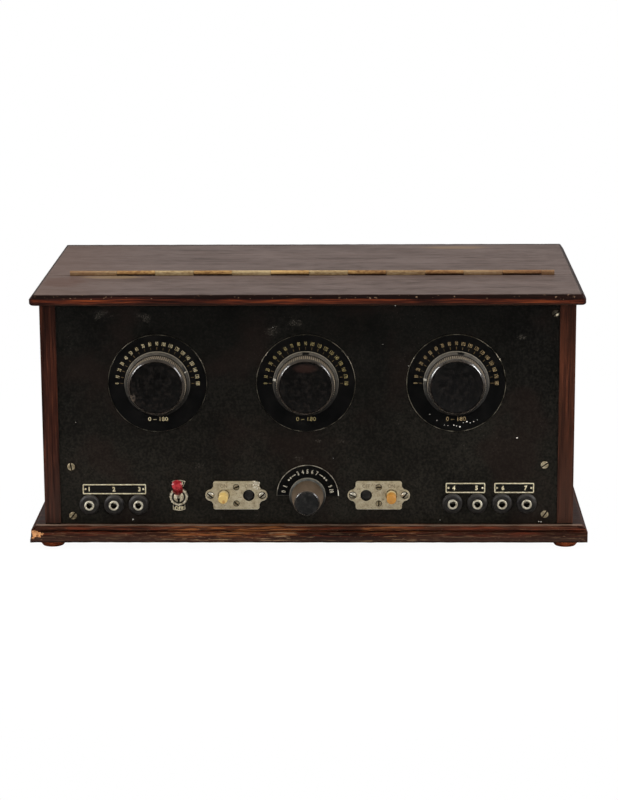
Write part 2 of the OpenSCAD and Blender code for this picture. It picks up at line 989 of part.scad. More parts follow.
module coupling_former() {
    cheek_t = 3;
    cheek_r = 24;
    cheek_foot = 40;
    color(former_brown)
        at_panel(coupling_x, row_z)
            difference() {
                union() {
                    translate([-outer_former_w / 2, 0, -former_axis])
                        rotate([0, 90, 0])
                            cylinder(h = outer_former_w, r = outer_former_r);
                    for (side = [-1, 1])
                        translate([side * (outer_former_w + cheek_t) / 2 - cheek_t / 2, 0, -former_axis]) {
                            rotate([0, 90, 0])
                                cylinder(h = cheek_t, r = cheek_r);
                            translate([0, -row_z, -cheek_foot / 2])
                                cube([cheek_t, row_z, cheek_foot]);
                        }
                }
                translate([-outer_former_w, 0, -former_axis])
                    rotate([0, 90, 0])
                        cylinder(h = 2 * outer_former_w, r = outer_former_r - former_t);
                hole(shaft_r + 0.6, -former_axis, 0);
                hole(shaft_r + run, -2 * former_axis, -former_axis);
            }
}

module coupling_winding() {
    band_w = 16;
    band_at = 14;
    color(winding_green)
        at_panel(coupling_x, row_z)
            for (side = [-1, 1])
                translate([side * band_at - band_w / 2, 0, -former_axis])
                    rotate([0, 90, 0])
                        difference() {
                            cylinder(h = band_w, r = outer_former_r + 1.2);
                            hole(outer_former_r, -cut, band_w + cut);
                        }
}

module coupling_rotor() {
    ring_r = 15;
    ring_w = 18;
    color(winding_brown)
        at_panel(coupling_x, row_z) {
            hole(shaft_r, -former_axis - outer_former_r - 2, coupling_bore);
            difference() {
                translate([0, 0, -former_axis])
                    rotate([0, 90, 0])
                        union() {
                            translate([0, 0, -ring_w / 2])
                                cylinder(h = ring_w, r = ring_r);
                            translate([0, 0, -ring_w / 2 + 2])
                                cylinder(h = ring_w - 4, r = ring_r + 1);
                        }
                translate([-ring_w, 0, -former_axis])
                    rotate([0, 90, 0])
                        cylinder(h = 2 * ring_w, r = ring_r - 1.6);
            }
        }
}

// Valves in their holders
pin_places = [[8, 0], [-8, 0], [0, 8], [0, -9.5]];
pin_r = 1.6;

module at_valves() {
    for (x = valve_x)
        translate([x, valve_y, floor_z])
            children();
}

module valve_holders() {
    holder_r = 24;
    bevel = 1.5;
    color(knob_black)
        at_valves()
            difference() {
                union() {
                    cylinder(h = holder_h - bevel, r = holder_r);
                    translate([0, 0, holder_h - bevel])
                        cylinder(h = bevel, r1 = holder_r, r2 = holder_r - bevel);
                }
                for (p = pin_places)
                    translate([p[0], p[1], 0])
                        hole(pin_r + run, 2, holder_h + cut);
            }
}

module valve_bases()
    color(knob_black)
        at_valves() {
            translate([0, 0, holder_h]) {
                cylinder(h = 4, r = 17);
                translate([0, 0, 4])
                    cylinder(h = valve_base_h - 4, r1 = 15.5, r2 = 16.5);
            }
            for (p = pin_places)
                translate([p[0], p[1], 0])
                    hole(pin_r, 3, holder_h + 0.1);
        }

bulb_r = 24;
bulb_z = 38;
neck_r = 14.5;
glass_t = 1.2;

module valve_bulbs()
    color(glass_grey)
        at_valves()
            translate([0, 0, holder_h + valve_base_h])
                difference() {
                    union() {
                        hole(neck_r, 0, bulb_z - bulb_r / 2);
                        translate([0, 0, bulb_z])
                            sphere(bulb_r);
                        translate([0, 0, bulb_z + bulb_r - 1])
                            cylinder(h = 4, r1 = 3.5, r2 = 1);
                    }
                    hole(neck_r - glass_t, glass_t, bulb_z - bulb_r / 2);
                    translate([0, 0, bulb_z])
                        sphere(bulb_r - glass_t);
                }

module valve_electrodes() {
    stem_h = 12;
    anode_r = 6.5;
    anode_w = 22;
    color(core_grey)
        at_valves()
            translate([0, 0, holder_h + valve_base_h + glass_t]) {
                cylinder(h = stem_h, r1 = 8, r2 = 4);
                for (x = [-7, 7])
                    rod([x * 0.4, 0, stem_h - 2], [x, 0, bulb_z - 1], 0.8);
                translate([-anode_w / 2, 0, bulb_z])
                    rotate([0, 90, 0])
                        difference() {
                            cylinder(h = anode_w, r = anode_r);
                            hole(anode_r - 0.6, -cut, anode_w + cut);
                        }
            }
}

// Coupling transformers: a laminated core with its winding round the middle leg
core_w = 44;
core_h = 44;
core_d = 22;
leg_w = 12;
window_w = 9;
yoke_h = 8;

module at_transformers() {
    for (x = transformer_x)
        translate([x, coil_y, floor_z])
            children();
}

module transformer_cores()
    color(core_grey)
        at_transformers() {
            lug = 4;
            lug_t = 2;
            translate([-core_w / 2 - lug, -core_d / 2, 0])
                cube([core_w + 2 * lug, core_d, lug_t]);
            difference() {
                translate([-core_w / 2, -core_d / 2, 0])
                    cube([core_w, core_d, core_h]);
                for (side = [-1, 1])
                    translate([side * (leg_w + window_w) / 2 - window_w / 2, -core_d, yoke_h])
                        cube([window_w, 2 * core_d, core_h - 2 * yoke_h]);
            }
        }

module transformer_windings() {
    winding_w = leg_w + 2 * window_w - 1;
    winding_d = 38;
    color(winding_brown)
        at_transformers()
            difference() {
                translate([0, 0, yoke_h])
                    linear_extrude(core_h - 2 * yoke_h)
                        round_rect(winding_w, winding_d, 6);
                translate([-leg_w / 2, -core_d / 2, 0])
                    cube([leg_w, core_d, core_h]);
            }
}

// Grid leaks held in clips between the valves
module grid_leaks() {
    base = [12, 52, 3];
    clip = [8, 4, 10];
    clip_y = 18;
    leak_z = 9;
    leak_end = 23;
    color(copper)
        for (x = [(valve_x[0] + valve_x[1]) / 2, (valve_x[1] + valve_x[2]) / 2])
            translate([x, valve_y, floor_z]) {
                translate([-base[0] / 2, -base[1] / 2, 0])
                    cube(base);
                for (y = [-clip_y, clip_y])
                    translate([-clip[0] / 2, y - clip[1] / 2, 0])
                        cube(clip);
                rod([0, -leak_end, leak_z], [0, leak_end, leak_z], 3.5);
            }
}

// Stiff wires from the condensers to the coils and on to the valves
module wire(points) {
    r = 0.75;
    for (i = [0:len(points) - 2])
        rod(points[i], points[i + 1], r);
    for (i = [1:len(points) - 2])
        translate(points[i])
            sphere(r, $fn = 24);
}

module bus_wires() {
    flange_top = floor_z + flange_t;
    holder_top = floor_z + holder_h;
    core_top = floor_z + core_h;
    side = coil_r + 3;
    landing = 20.5;
    low = 45;
    high = 72;
    rear = panel_y + rear_plate_z + plate_t;
    leave = [-19.3, 23];
    color(copper) {
        for (i = [0:2]) {
            x = dial_x[i];
            tap = floor_z + dial_z - 25;
            wire([[x + side, rear, tap], [x + side, coil_y, tap], [x + side, coil_y, flange_top]]);
            start = [x + leave[0], coil_y + leave[1]];
            land_y = valve_y - landing;
            wire([[start[0], start[1], flange_top], [start[0], start[1], low], [start[0], land_y, low],
                [valve_x[i], land_y, low], [valve_x[i], land_y, holder_top]]);
        }
        first = transformer_x[0] - 10;
        last = transformer_x[1] + 10;
        core_y = coil_y + 8;
        wire([[first, core_y, core_top], [first, core_y, high], [first, valve_y, high],
            [first, valve_y, holder_top]]);
        wire([[last, core_y, core_top], [last, core_y, high], [last, valve_y - landing, high],
            [valve_x[3], valve_y - landing, high], [valve_x[3], valve_y - landing, holder_top]]);
    }
}

// Strip with the battery terminals, inside the slot of the back panel
module terminal_strip() {
    strip = [130, 14, 10];
    posts = 6;
    post_pitch = 22;
    color(knob_black)
        translate([0, back_y - back_t - 18, floor_z]) {
            translate([-strip[0] / 2, 0, 0])
                cube(strip);
            for (i = [0:posts - 1])
                translate([(i - (posts - 1) / 2) * post_pitch, strip[1] / 2, strip[2] - cut])
                    cylinder(h = 3 + cut, r = 3.5, $fn = 24);
        }
}

base_board();
side_left();
side_right();
back_panel();
top_strip();
panel_battens();
feet();
front_panel();
panel_screws();
hinge_leaf_fixed();
hinge_pin();
scale_plate_left();
scale_plate_middle();
scale_plate_right();
coupling_plate();
label_plates();
socket_collars();
sockets();
toggle_body();
toggle_tag();
switch_plate_left();
switch_plate_right();
switch_screws();
switch_housings();
shaft_bushes();
condenser_frame_left();
condenser_frame_middle();
condenser_frame_right();
stator_left();
stator_middle();
stator_right();
coil_formers();
coil_windings();
coupling_former();
coupling_winding();
valve_holders();
valve_bases();
valve_bulbs();
valve_electrodes();
transformer_cores();
transformer_windings();
grid_leaks();
bus_wires();
terminal_strip();
lid_board();
hinge_leaf_lid();
knob_left();
knob_middle();
knob_right();
rotor_left();
rotor_middle();
rotor_right();
coupling_knob();
coupling_rotor();
toggle_lever();
toggle_cap();
button_ivory_left();
button_black_left();
button_black_right();
button_ivory_right();
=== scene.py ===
import math
import random

import bmesh
import bpy
from mathutils import Matrix, Vector, noise


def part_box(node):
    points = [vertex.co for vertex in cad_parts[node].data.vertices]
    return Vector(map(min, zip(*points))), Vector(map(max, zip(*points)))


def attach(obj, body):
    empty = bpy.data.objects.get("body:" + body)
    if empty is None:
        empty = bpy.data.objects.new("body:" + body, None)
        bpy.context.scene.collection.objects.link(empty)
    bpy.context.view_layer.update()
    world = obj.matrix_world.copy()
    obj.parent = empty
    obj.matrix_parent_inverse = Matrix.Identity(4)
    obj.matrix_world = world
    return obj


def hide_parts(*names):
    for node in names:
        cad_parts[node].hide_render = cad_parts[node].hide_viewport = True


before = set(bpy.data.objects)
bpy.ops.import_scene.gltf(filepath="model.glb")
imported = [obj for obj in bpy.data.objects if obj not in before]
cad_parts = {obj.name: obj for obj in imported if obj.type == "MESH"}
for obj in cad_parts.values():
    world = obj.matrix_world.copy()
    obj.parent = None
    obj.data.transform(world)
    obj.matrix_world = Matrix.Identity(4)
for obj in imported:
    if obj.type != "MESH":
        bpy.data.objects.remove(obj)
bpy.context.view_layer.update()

# The studio: a long lens two metres in front of the set looks down at it by thirteen degrees. The set
# stands on a white table under a soft light overhead, with a tall narrow softbox at each side.
photo_w, photo_h = 618, 800
focal_px = 2610.4
centre_px = (306.2, 427.2)
camera_at = (0.0476, -2.1662, 0.5749)
pitch, yaw, roll = (math.radians(angle) for angle in (13.014, -1.364, -0.344))
sensor = 36

lens = bpy.data.cameras.new("camera")
lens.sensor_width = sensor
lens.lens = focal_px / photo_h * sensor
lens.shift_x = (photo_w / 2 - centre_px[0]) / photo_h
lens.shift_y = (centre_px[1] - photo_h / 2) / photo_h
lens.clip_start = 0.05
camera = bpy.data.objects.new("camera", lens)
camera.matrix_world = (
    Matrix.Translation(camera_at) @ Matrix.Rotation(-yaw, 4, "Z")
    @ Matrix.Rotation(math.pi / 2 - pitch, 4, "X") @ Matrix.Rotation(roll, 4, "Z"))
scene = bpy.context.scene
scene.collection.objects.link(camera)
scene.camera = camera
scene.view_settings.view_transform = "Standard"


def seen(colour):
    """A colour from its 0 to 255 values as seen on a screen. One of four numbers is light already."""
    if len(colour) == 4:
        return colour
    shares = (part / 255 for part in colour)
    return tuple(c / 12.92 if c <= 0.04045 else ((c + 0.055) / 1.055) ** 2.4 for c in shares) + (1,)


def named(sockets, key):
    """The socket in use whose name is the key, with spaces for its underscores."""
    return next(s for s in sockets if s.enabled and s.name == key.replace("_", " "))


def join(tree, value, socket):
    """Links a wire to a socket, or sets the socket to a plain value."""
    if isinstance(value, Wire):
        tree.links.new(value.socket, socket)
    else:
        socket.default_value = seen(value) if socket.type == "RGBA" else value


class Wire:
    """A value in a node tree. Arithmetic on it adds Math nodes."""

    def __init__(self, tree, socket):
        self.tree = tree
        self.socket = socket

    def out(self, key):
        """Another output of the node that this one comes from."""
        return Wire(self.tree, named(self.socket.node.outputs, key))

    def math(self, operation, *values):
        node = self.tree.nodes.new("ShaderNodeMath")
        node.operation = operation
        for socket, value in zip(node.inputs, values):
            join(self.tree, value, socket)
        return Wire(self.tree, node.outputs[0])

    def __add__(self, other):
        return self.math("ADD", self, other)

    def __sub__(self, other):
        return self.math("SUBTRACT", self, other)

    def __rsub__(self, other):
        return self.math("SUBTRACT", other, self)

    def __mul__(self, other):
        return self.math("MULTIPLY", self, other)

    def __truediv__(self, other):
        return self.math("DIVIDE", self, other)

    def __pow__(self, other):
        return self.math("POWER", self, other)

    def __abs__(self):
        return self.math("ABSOLUTE", self)

    def most(self, other):
        return self.math("MAXIMUM", self, other)

    __radd__ = __add__
    __rmul__ = __mul__


class Nodes:
    """A node tree being filled."""

    def __init__(self, tree):
        self.tree = tree

    def node(self, kind, settings=None, **inputs):
        """Adds a node: first its settings, then its sockets' values or links. Gives its first output."""
        node = self.tree.nodes.new("ShaderNode" + kind)
        for key, value in (settings or {}).items():
            if key == "stops":
                while len(node.color_ramp.elements) < len(value):
                    node.color_ramp.elements.new(1)
                for element, (position, colour) in zip(node.color_ramp.elements, value):
                    element.position = position
                    element.color = seen(colour)
            else:
                setattr(node, key, value)
        for key, value in inputs.items():
            join(self.tree, value, named(node.inputs, key))
        return Wire(self.tree, next(s for s in node.outputs if s.enabled))


world = bpy.data.worlds.new("studio")
scene.world = world
world.use_nodes = True
sky = Nodes(world.node_tree)
ambient = 0.42
dark_front, bright_back = 0.05, 0.5
ray = sky.node("LightPath")
towards = sky.node("SeparateXYZ", Vector=sky.node("TexCoord"))
mirrored = sky.node(
    "MapRange", Value=towards.out("Y"), From_Min=-0.75, From_Max=0.1, To_Min=dark_front, To_Max=bright_back)
overhead = sky.node("MapRange", Value=towards.out("Z"), From_Min=0.3, From_Max=0.6, To_Min=1, To_Max=0.1)
shown = ray.most(ray.out("Is Transmission Ray"))
glossy = ray.out("Is Glossy Ray")
lit = shown.most(glossy * mirrored * overhead) + (1 - shown.most(glossy)) * ambient
background = sky.tree.nodes["Background"]
join(sky.tree, lit, background.inputs["Strength"])
background.inputs["Color"].default_value = (1, 1, 1, 1)


def softbox(name, at, width, height, power, aim=(0, 0, 0.1), mirrored=True):
    """A square lamp behind cloth. One that isn't mirrored gives light without a sheen."""
    lamp = bpy.data.lights.new(name, "AREA")
    lamp.shape = "RECTANGLE"
    lamp.size = width
    lamp.size_y = height
    lamp.energy = power
    box = bpy.data.objects.new(name, lamp)
    towards = (Vector(aim) - Vector(at)).to_track_quat("-Z", "Y")
    box.matrix_world = Matrix.Translation(at) @ towards.to_matrix().to_4x4()
    box.visible_glossy = mirrored
    scene.collection.objects.link(box)


softbox("overhead_light", (0, 0.1, 1.5), 1.6, 1.0, 16, mirrored=False)
for side in (-1, 1):
    softbox("side_light", (side * 1.2, -0.24, 0.86), 0.2, 0.7, 14)
softbox("front_light", (0, -2.3, 1.3), 1.4, 0.8, 14, mirrored=False)

table_size = 6
bm = bmesh.new()
bmesh.ops.create_grid(bm, x_segments=1, y_segments=1, size=table_size / 2)
mesh = bpy.data.meshes.new("table")
bm.to_mesh(mesh)
bm.free()
table = bpy.data.objects.new("table", mesh)
scene.collection.objects.link(table)
white_cloth = bpy.data.materials.new("white_cloth")
white_cloth.use_nodes = True
mesh.materials.append(white_cloth)
cloth = Nodes(white_cloth.node_tree)
paper = cloth.tree.nodes["Principled BSDF"]
paper.inputs["Base Color"].default_value = (0.9, 0.9, 0.9, 1)
paper.inputs["Roughness"].default_value = 0.9
paper.inputs["Specular IOR Level"].default_value = 0
shown_white = 0.97


def going_over(first, second, share):
    """One shader of the table going over to another."""
    both = cloth.node("MixShader", Fac=share)
    for shader, socket in zip((first, second), both.socket.node.inputs[1:]):
        join(cloth.tree, shader, socket)
    return both


spot = cloth.node("TexCoord").out("Object")
far = cloth.node("VectorMath", {"operation": "LENGTH"}, Vector=spot).out("Value")
share = cloth.node("MapRange", Value=far, From_Min=0.3, From_Max=0.6, To_Min=shown_white, To_Max=1)
beam = cloth.node("LightPath")
glow = cloth.node("Emission", Strength=1.0)
lit_cloth = going_over(Wire(cloth.tree, paper.outputs["BSDF"]), glow, beam * share)
surface = going_over(lit_cloth, cloth.node("Emission", Strength=0.02), beam.out("Is Glossy Ray"))
join(cloth.tree, surface, cloth.tree.nodes["Material Output"].inputs["Surface"])

# The base: a mahogany board with a quirked ovolo along its upper edge. The stain is nearly black in the
# moulding, the face is rubbed pale in places and one corner has lost a chip down to the raw wood.
mm = 0.001


class Finish(Nodes):
    """A material of one Principled shader, with the nodes that vary it over the piece."""

    def __init__(self, name, **constants):
        self.material = bpy.data.materials.new(name)
        self.material.use_nodes = True
        super().__init__(self.material.node_tree)
        self.shader = self.tree.nodes["Principled BSDF"]
        self.feed(**constants)
        place = self.node("TexCoord")
        self.at = place.out("Object")
        self.up = self.node("SeparateXYZ", Vector=place.out("Normal")).out("Z")
        split = self.node("SeparateXYZ", Vector=self.at)
        self.x, self.y, self.z = split, split.out("Y"), split.out("Z")

    def feed(self, **inputs):
        """Sets or links the shader's own sockets."""
        for key, value in inputs.items():
            join(self.tree, value, named(self.shader.inputs, key))

    def noise(self, grain, detail=3, stretch=(1, 1, 1), shift=(0, 0, 0), distortion=0):
        """Cloudy values with about that size of grain, in millimetres."""
        where = self.node("Mapping", Vector=self.at, Scale=stretch, Location=shift)
        return self.node("TexNoise", Vector=where, Scale=1000 / grain, Detail=detail, Distortion=distortion)

    def step(self, value, low, high):
        """Rises smoothly from 0 at low to 1 at high."""
        smooth = {"interpolation_type": "SMOOTHSTEP"}
        return self.node("MapRange", smooth, Value=value, From_Min=low, From_Max=high)

    def mix(self, a, b, factor):
        """Colour a going over to colour b."""
        return self.node("Mix", {"data_type": "RGBA"}, Factor=factor, A=a, B=b)

    def over(self, colour, *coats):
        """A colour under coats, each a tint and how much of it lies there."""
        for tint, cover in coats:
            colour = self.mix(colour, tint, cover)
        return colour

    def coat(self, *coats):
        """Puts such coats over the finish's own tone."""
        self.feed(Base_Color=self.over(self.tone, *coats))

    def ramp(self, value, places, *colours):
        """A colour for each value: these colours at these places, and between them a mixture."""
        return self.node("ValToRGB", {"stops": list(zip(places, colours))}, Fac=value)

    def relief(self, height, depth):
        """Bumps of that depth in millimetres."""
        self.feed(Normal=self.node("Bump", Height=height, Distance=depth / 1000, Strength=1.0))

    def away(self, x, z):
        """The distance in the panel's plane from a point on it."""
        across, upward = self.x - x, self.z - z
        return (across * across + upward * upward) ** 0.5

    def patch(self, x, z, width, height, edge=0.5, ragged=0):
        """A soft oval mark on the panel, 1 in its middle, that a noise can make ragged."""
        across, upward = (self.x - x) / (width / 2), (self.z - z) / (height / 2)
        return self.step(across * across + upward * upward + ragged, 1, 1 - edge)


grain_ways = {"x": (0.05, 1, 1), "y": (1, 0.05, 1), "z": (1, 1, 0.05)}
pore_black = (0.01, 0.006, 0.004, 1)


def stained_wood(name, grain, dark, middle, light, shift=0.0, roughness=0.45, gloss=0.08, open_pores=0.6):
    """Stained mahogany with the grain along one axis: broad figure, fine fibre and dark open pores."""
    wood = Finish(name, Specular_IOR_Level=gloss)
    along = grain_ways[grain]
    place = (shift, shift * 0.7, shift * 1.3)
    wood.figure = wood.noise(7, 4, along, place, 0.6)
    wood.fibre = wood.noise(1.1, 3, along, place)
    pores = wood.step(wood.noise(0.55, 2, along, place), 0.6, 0.7)
    plain = wood.ramp(wood.figure * 0.62 + wood.fibre * 0.38, (0.36, 0.5, 0.64), dark, middle, light)
    wood.tone = wood.mix(plain, pore_black, pores * open_pores)
    wood.feed(Base_Color=wood.tone, Roughness=roughness + (wood.fibre - 0.5) * 0.3 + pores * 0.1)
    wood.relief(wood.fibre * 0.5 - pores, 0.03)
    return wood


def board(low, high, edge):
    """A board from its corners; its edge is a list of insets and heights from the underside up."""
    bm = bmesh.new()

    def ring(inset, height):
        x0, x1, y0, y1 = low.x + inset, high.x - inset, low.y + inset, high.y - inset
        return [Vector((x, y, low.z + height)) for x, y in ((x0, y0), (x1, y0), (x1, y1), (x0, y1))]

    top = bm.faces.new([bm.verts.new(corner) for corner in ring(*edge[0])])
    for number, (inset, height) in enumerate(edge[1:]):
        grown = bmesh.ops.extrude_face_region(bm, geom=[top], use_keep_orig=number == 0)
        top = next(part for part in grown["geom"] if isinstance(part, bmesh.types.BMFace))
        for loop, corner in zip(top.loops, ring(inset, height)):
            loop.vert.co = corner
    bmesh.ops.recalc_face_normals(bm, faces=bm.faces)
    return bm


def chamfer(bm, edges, width, segments):
    """Rounds these edges in that many steps."""
    bmesh.ops.bevel(
        bm, geom=edges, offset=width, offset_type="OFFSET", segments=segments,
        profile=0.5, affect="EDGES", clamp_overlap=True, material=-1)


def ease(bm, width, segments=2, angle=25):
    """Takes the sharpness off every arris."""
    sharp = [e for e in bm.edges if len(e.link_faces) == 2 and e.calc_face_angle(0) > math.radians(angle)]
    chamfer(bm, sharp, width, segments)


def crosscut(bm, way, places):
    """Cuts a mesh across at these places along x, y or z, so that its arrises can waver."""
    axis = Matrix.Identity(3)["xyz".index(way)]
    for place in places:
        everything = bm.verts[:] + bm.edges[:] + bm.faces[:]
        bmesh.ops.bisect_plane(bm, geom=everything, plane_co=axis * place, plane_no=axis)


def evenly(low, high, pitch):
    """Places about that pitch apart, between two ends."""
    count = max(2, int((high - low) / pitch))
    return [low + (high - low) * i / count for i in range(1, count)]


def closely(start, first, count):
    """Places 0.9 mm apart, the first of them that many millimetres from the start."""
    return [start + (first + 0.9 * i) * mm for i in range(count)]


noise.seed_set(7)


def rub(bm, amount, size, touched):
    """Moves the points that touched() picks a little, as years of handling do."""
    for vert in bm.verts:
        if touched(vert.co):
            vert.co += noise.noise_vector(vert.co / size) * amount


def fit(name, bm, finishes, slot, *nodes, body="cabinet", smooth=35):
    """Makes a finished mesh a piece of the set that rides on a body and stands for the CAD nodes."""
    mesh = bpy.data.meshes.new(name)
    bm.to_mesh(mesh)
    bm.free()
    for finish in finishes:
        mesh.materials.append(finish.material)
    mesh.shade_smooth()
    mesh.set_sharp_from_angle(angle=math.radians(smooth))
    made = bpy.data.objects.new(name, mesh)
    scene.collection.objects.link(made)
    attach(made, body)
    if nodes:
        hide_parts(*nodes)


base_low, base_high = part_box("base_board")
front_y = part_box("side_left")[0].y
base = stained_wood("base_stain", "x", (24, 12, 8), (50, 26, 16), (76, 43, 29), 0.31)
face_top = base_high.z - 5.5 * mm
face_only = base.step(base.z, face_top + 2.5 * mm, face_top)
moulding = base.step(base.z, face_top, face_top + 1 * mm)
reddest = base.step(base.z, base_low.z + 3 * mm, base_low.z + 7 * mm)
low_edge = base.step(base.z, base_low.z + 2.2 * mm, base_low.z)
# Painted shade: the base's upward faces in a 3 mm strip behind the front of the sides are darkened, at the
# foot of the panel.
panel_foot_shade = base.step(base.up, 0.7, 0.95) * base.step(base.y, front_y, front_y + 3 * mm)
handled = base.step(base.x, -0.14, -0.1) * base.step(base.x, 0.03, -0.03)
handled += base.step(base.x, 0.03, 0.05) * base.step(base.x, 0.105, 0.085) * 0.8
rubbed = base.step(base.noise(1.2, 4, (0.06, 1, 1), (0.3, 0, 0.2), 0.3) + handled * 0.07, 0.52, 0.68)
rubbed *= reddest * 0.8 + 0.2
settled = base.z + (base.noise(5, 3, (0.3, 1, 1)) - 0.5) * 0.0014
dust = base.step(settled, base_high.z - 0.4 * mm, base_high.z)
dust *= base.step(base.y, front_y + 1 * mm, front_y - 1 * mm)
scratch = base.step(base.noise(0.7, 2, (0.05, 1, 1), (0, 0.4, 0)), 0.6, 0.66) * face_only
ember = base.step(base.noise(2.2, 4, (0.1, 1, 1), (0.6, 0, 0)), 0.48, 0.64)
stripes = base.step(base.noise(1.3, 4, (0.04, 1, 1), (0.9, 0, 0)), 0.44, 0.56)
specks = base.step(base.noise(0.9, 2, (0.4, 1, 1), (0.2, 0, 0.5)), 0.66, 0.74)
base.coat(
    ((30, 12, 8), (moulding * 0.45 + 0.25) * stripes),
    ((98, 40, 21), ember * (1 - stripes * 0.7) * reddest * 0.6),
    ((50, 36, 31), (1 - reddest) * 0.5),
    (base.mix((96, 62, 44), (140, 84, 44), handled), rubbed * (0.25 + handled * 0.4)),
    ((150, 118, 86), scratch * (0.2 + handled * 0.6)),
    ((136, 104, 80), specks * 0.45),
    ((108, 90, 76), dust * 0.85),
    ((24, 17, 15), panel_foot_shade * 0.55),
    ((20, 11, 8), low_edge * 0.7),
)
raw_wood = stained_wood("raw_wood", "x", (120, 72, 40), (172, 116, 70), (206, 152, 104), 0.1, 0.7, 0.2)

board_t = base_high.z - base_low.z
quirk = 0.8 * mm
ovolo_r = 4.5 * mm
ovolo = [
    (quirk + ovolo_r - ovolo_r * math.cos(a), board_t - ovolo_r + ovolo_r * math.sin(a))
    for a in (math.radians(15 * i) for i in range(7))
]
bm = board(base_low, base_high, [(0, 0), (0, board_t - ovolo_r)] + ovolo)
ease(bm, 0.35 * mm)
chip_w, chip_d, chip_z, chip_h = 11 * mm, 8 * mm, base_high.z - 6 * mm, 4.2 * mm
crosscut(bm, "x", closely(base_low.x, 0.6, 16) + evenly(base_low.x + 16 * mm, base_high.x, 5 * mm))
crosscut(bm, "y", closely(base_low.y, 0.6, 12))
crosscut(bm, "z", closely(base_low.z, 0.7, 9))
rub(bm, 0.2 * mm, 6 * mm, lambda p: p.y < front_y - 2 * mm or abs(p.x) > 0.217)
broken = set()
for vert in bm.verts:
    across, inward = (vert.co.x - base_low.x) / chip_w, (vert.co.y - base_low.y) / chip_d
    tall = abs(vert.co.z - chip_z) / chip_h
    ragged = noise.noise(vert.co / (2.4 * mm)) * 0.35
    missing = 1 + ragged - tall ** 3 - max(across, 0) - max(inward, 0)
    if tall < 1.15 and missing > 0 and across < 1.2 and inward < 1.2:
        to_side = (inward + 0.05) / (across + inward + 0.1)
        vert.co.x += missing * to_side * chip_w * 0.7
        vert.co.y += missing * (1 - to_side) * chip_d * 0.7
        broken.add(vert)
for face in bm.faces:
    if all(vert in broken for vert in face.verts):
        face.material_index = 1
fit("base_board_worn", bm, [base, raw_wood], "mahogany", "base_board")

# The sides: two mahogany boards glued on the base, their front arrises rounded, with dust and grey scuffs
# towards the foot, a painted shade towards the top and a painted shadow along the gap at their foot. The back
# panel, the battens and the turned feet are of plainer wood.


def dress(finish, *nodes):
    """Gives CAD nodes a finish."""
    for node in nodes:
        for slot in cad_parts[node].material_slots:
            slot.material = finish.material


sides = stained_wood("side_stain", "z", (26, 12, 8), (52, 24, 15), (86, 43, 27), 0.77)
low_dust = sides.step(sides.z, 0.11, 0.02)
lines = sides.step(sides.noise(1.8, 3, (1, 1, 0.03), (0.4, 0, 0)), 0.5, 0.6)
# Painted shadow: a dark line along the foot of the side boards, at the gap over the base.
gap_shadow_line = sides.step(sides.z, base_high.z + 1.4 * mm, base_high.z + 0.5 * mm)
sides.coat(
    ((100, 60, 38), sides.step(sides.x, 0, 0.1) * 0.16),
    # painted shade: darker towards the top, under the top board
    ((24, 10, 6), sides.step(sides.z, 0.13, 0.2) * 0.5),
    ((62, 46, 39), low_dust * 0.4),
    ((28, 13, 9), lines * 0.5),
    ((12, 8, 6), gap_shadow_line * 0.85),
)
dress(sides, "side_left", "side_right")
inner_wood = stained_wood("back_stain", "x", (50, 28, 18), (86, 54, 36), (116, 78, 54), 0.5, 0.6, 0.3)
dress(inner_wood, "back_panel", "panel_battens")
dress(stained_wood("foot_stain", "y", (92, 42, 24), (140, 70, 40), (168, 92, 56), 0.2, 0.5), "feet")

# The top: a fixed strip in front and the lid behind it, both of the same board. Its flat is greyed with a
# painted sheen, the slope along the edge is dark and the nose is rubbed to orange with a painted highlight.
strip_low, strip_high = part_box("top_strip")
lid_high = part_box("lid_board")[1]
nose_h = 2.4 * mm
slope_down = 3.4 * mm
top_stains = (
    (-0.165, -0.036, 0.03, 0.009, (126, 106, 78)), (0.125, 0.116, 0.04, 0.01, (120, 98, 72)),
    (-0.2, -0.06, 0.02, 0.03, (70, 46, 36)),
)


def copy_of(node):
    """The mesh of a CAD node, merged and with its flat faces whole."""
    bm = bmesh.new()
    bm.from_mesh(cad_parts[node].data)
    for face in bm.faces:
        face.material_index = 0
    bmesh.ops.remove_doubles(bm, verts=bm.verts, dist=0.002 * mm)
    bmesh.ops.dissolve_limit(bm, angle_limit=math.radians(0.5), verts=bm.verts, edges=bm.edges)
    return bm


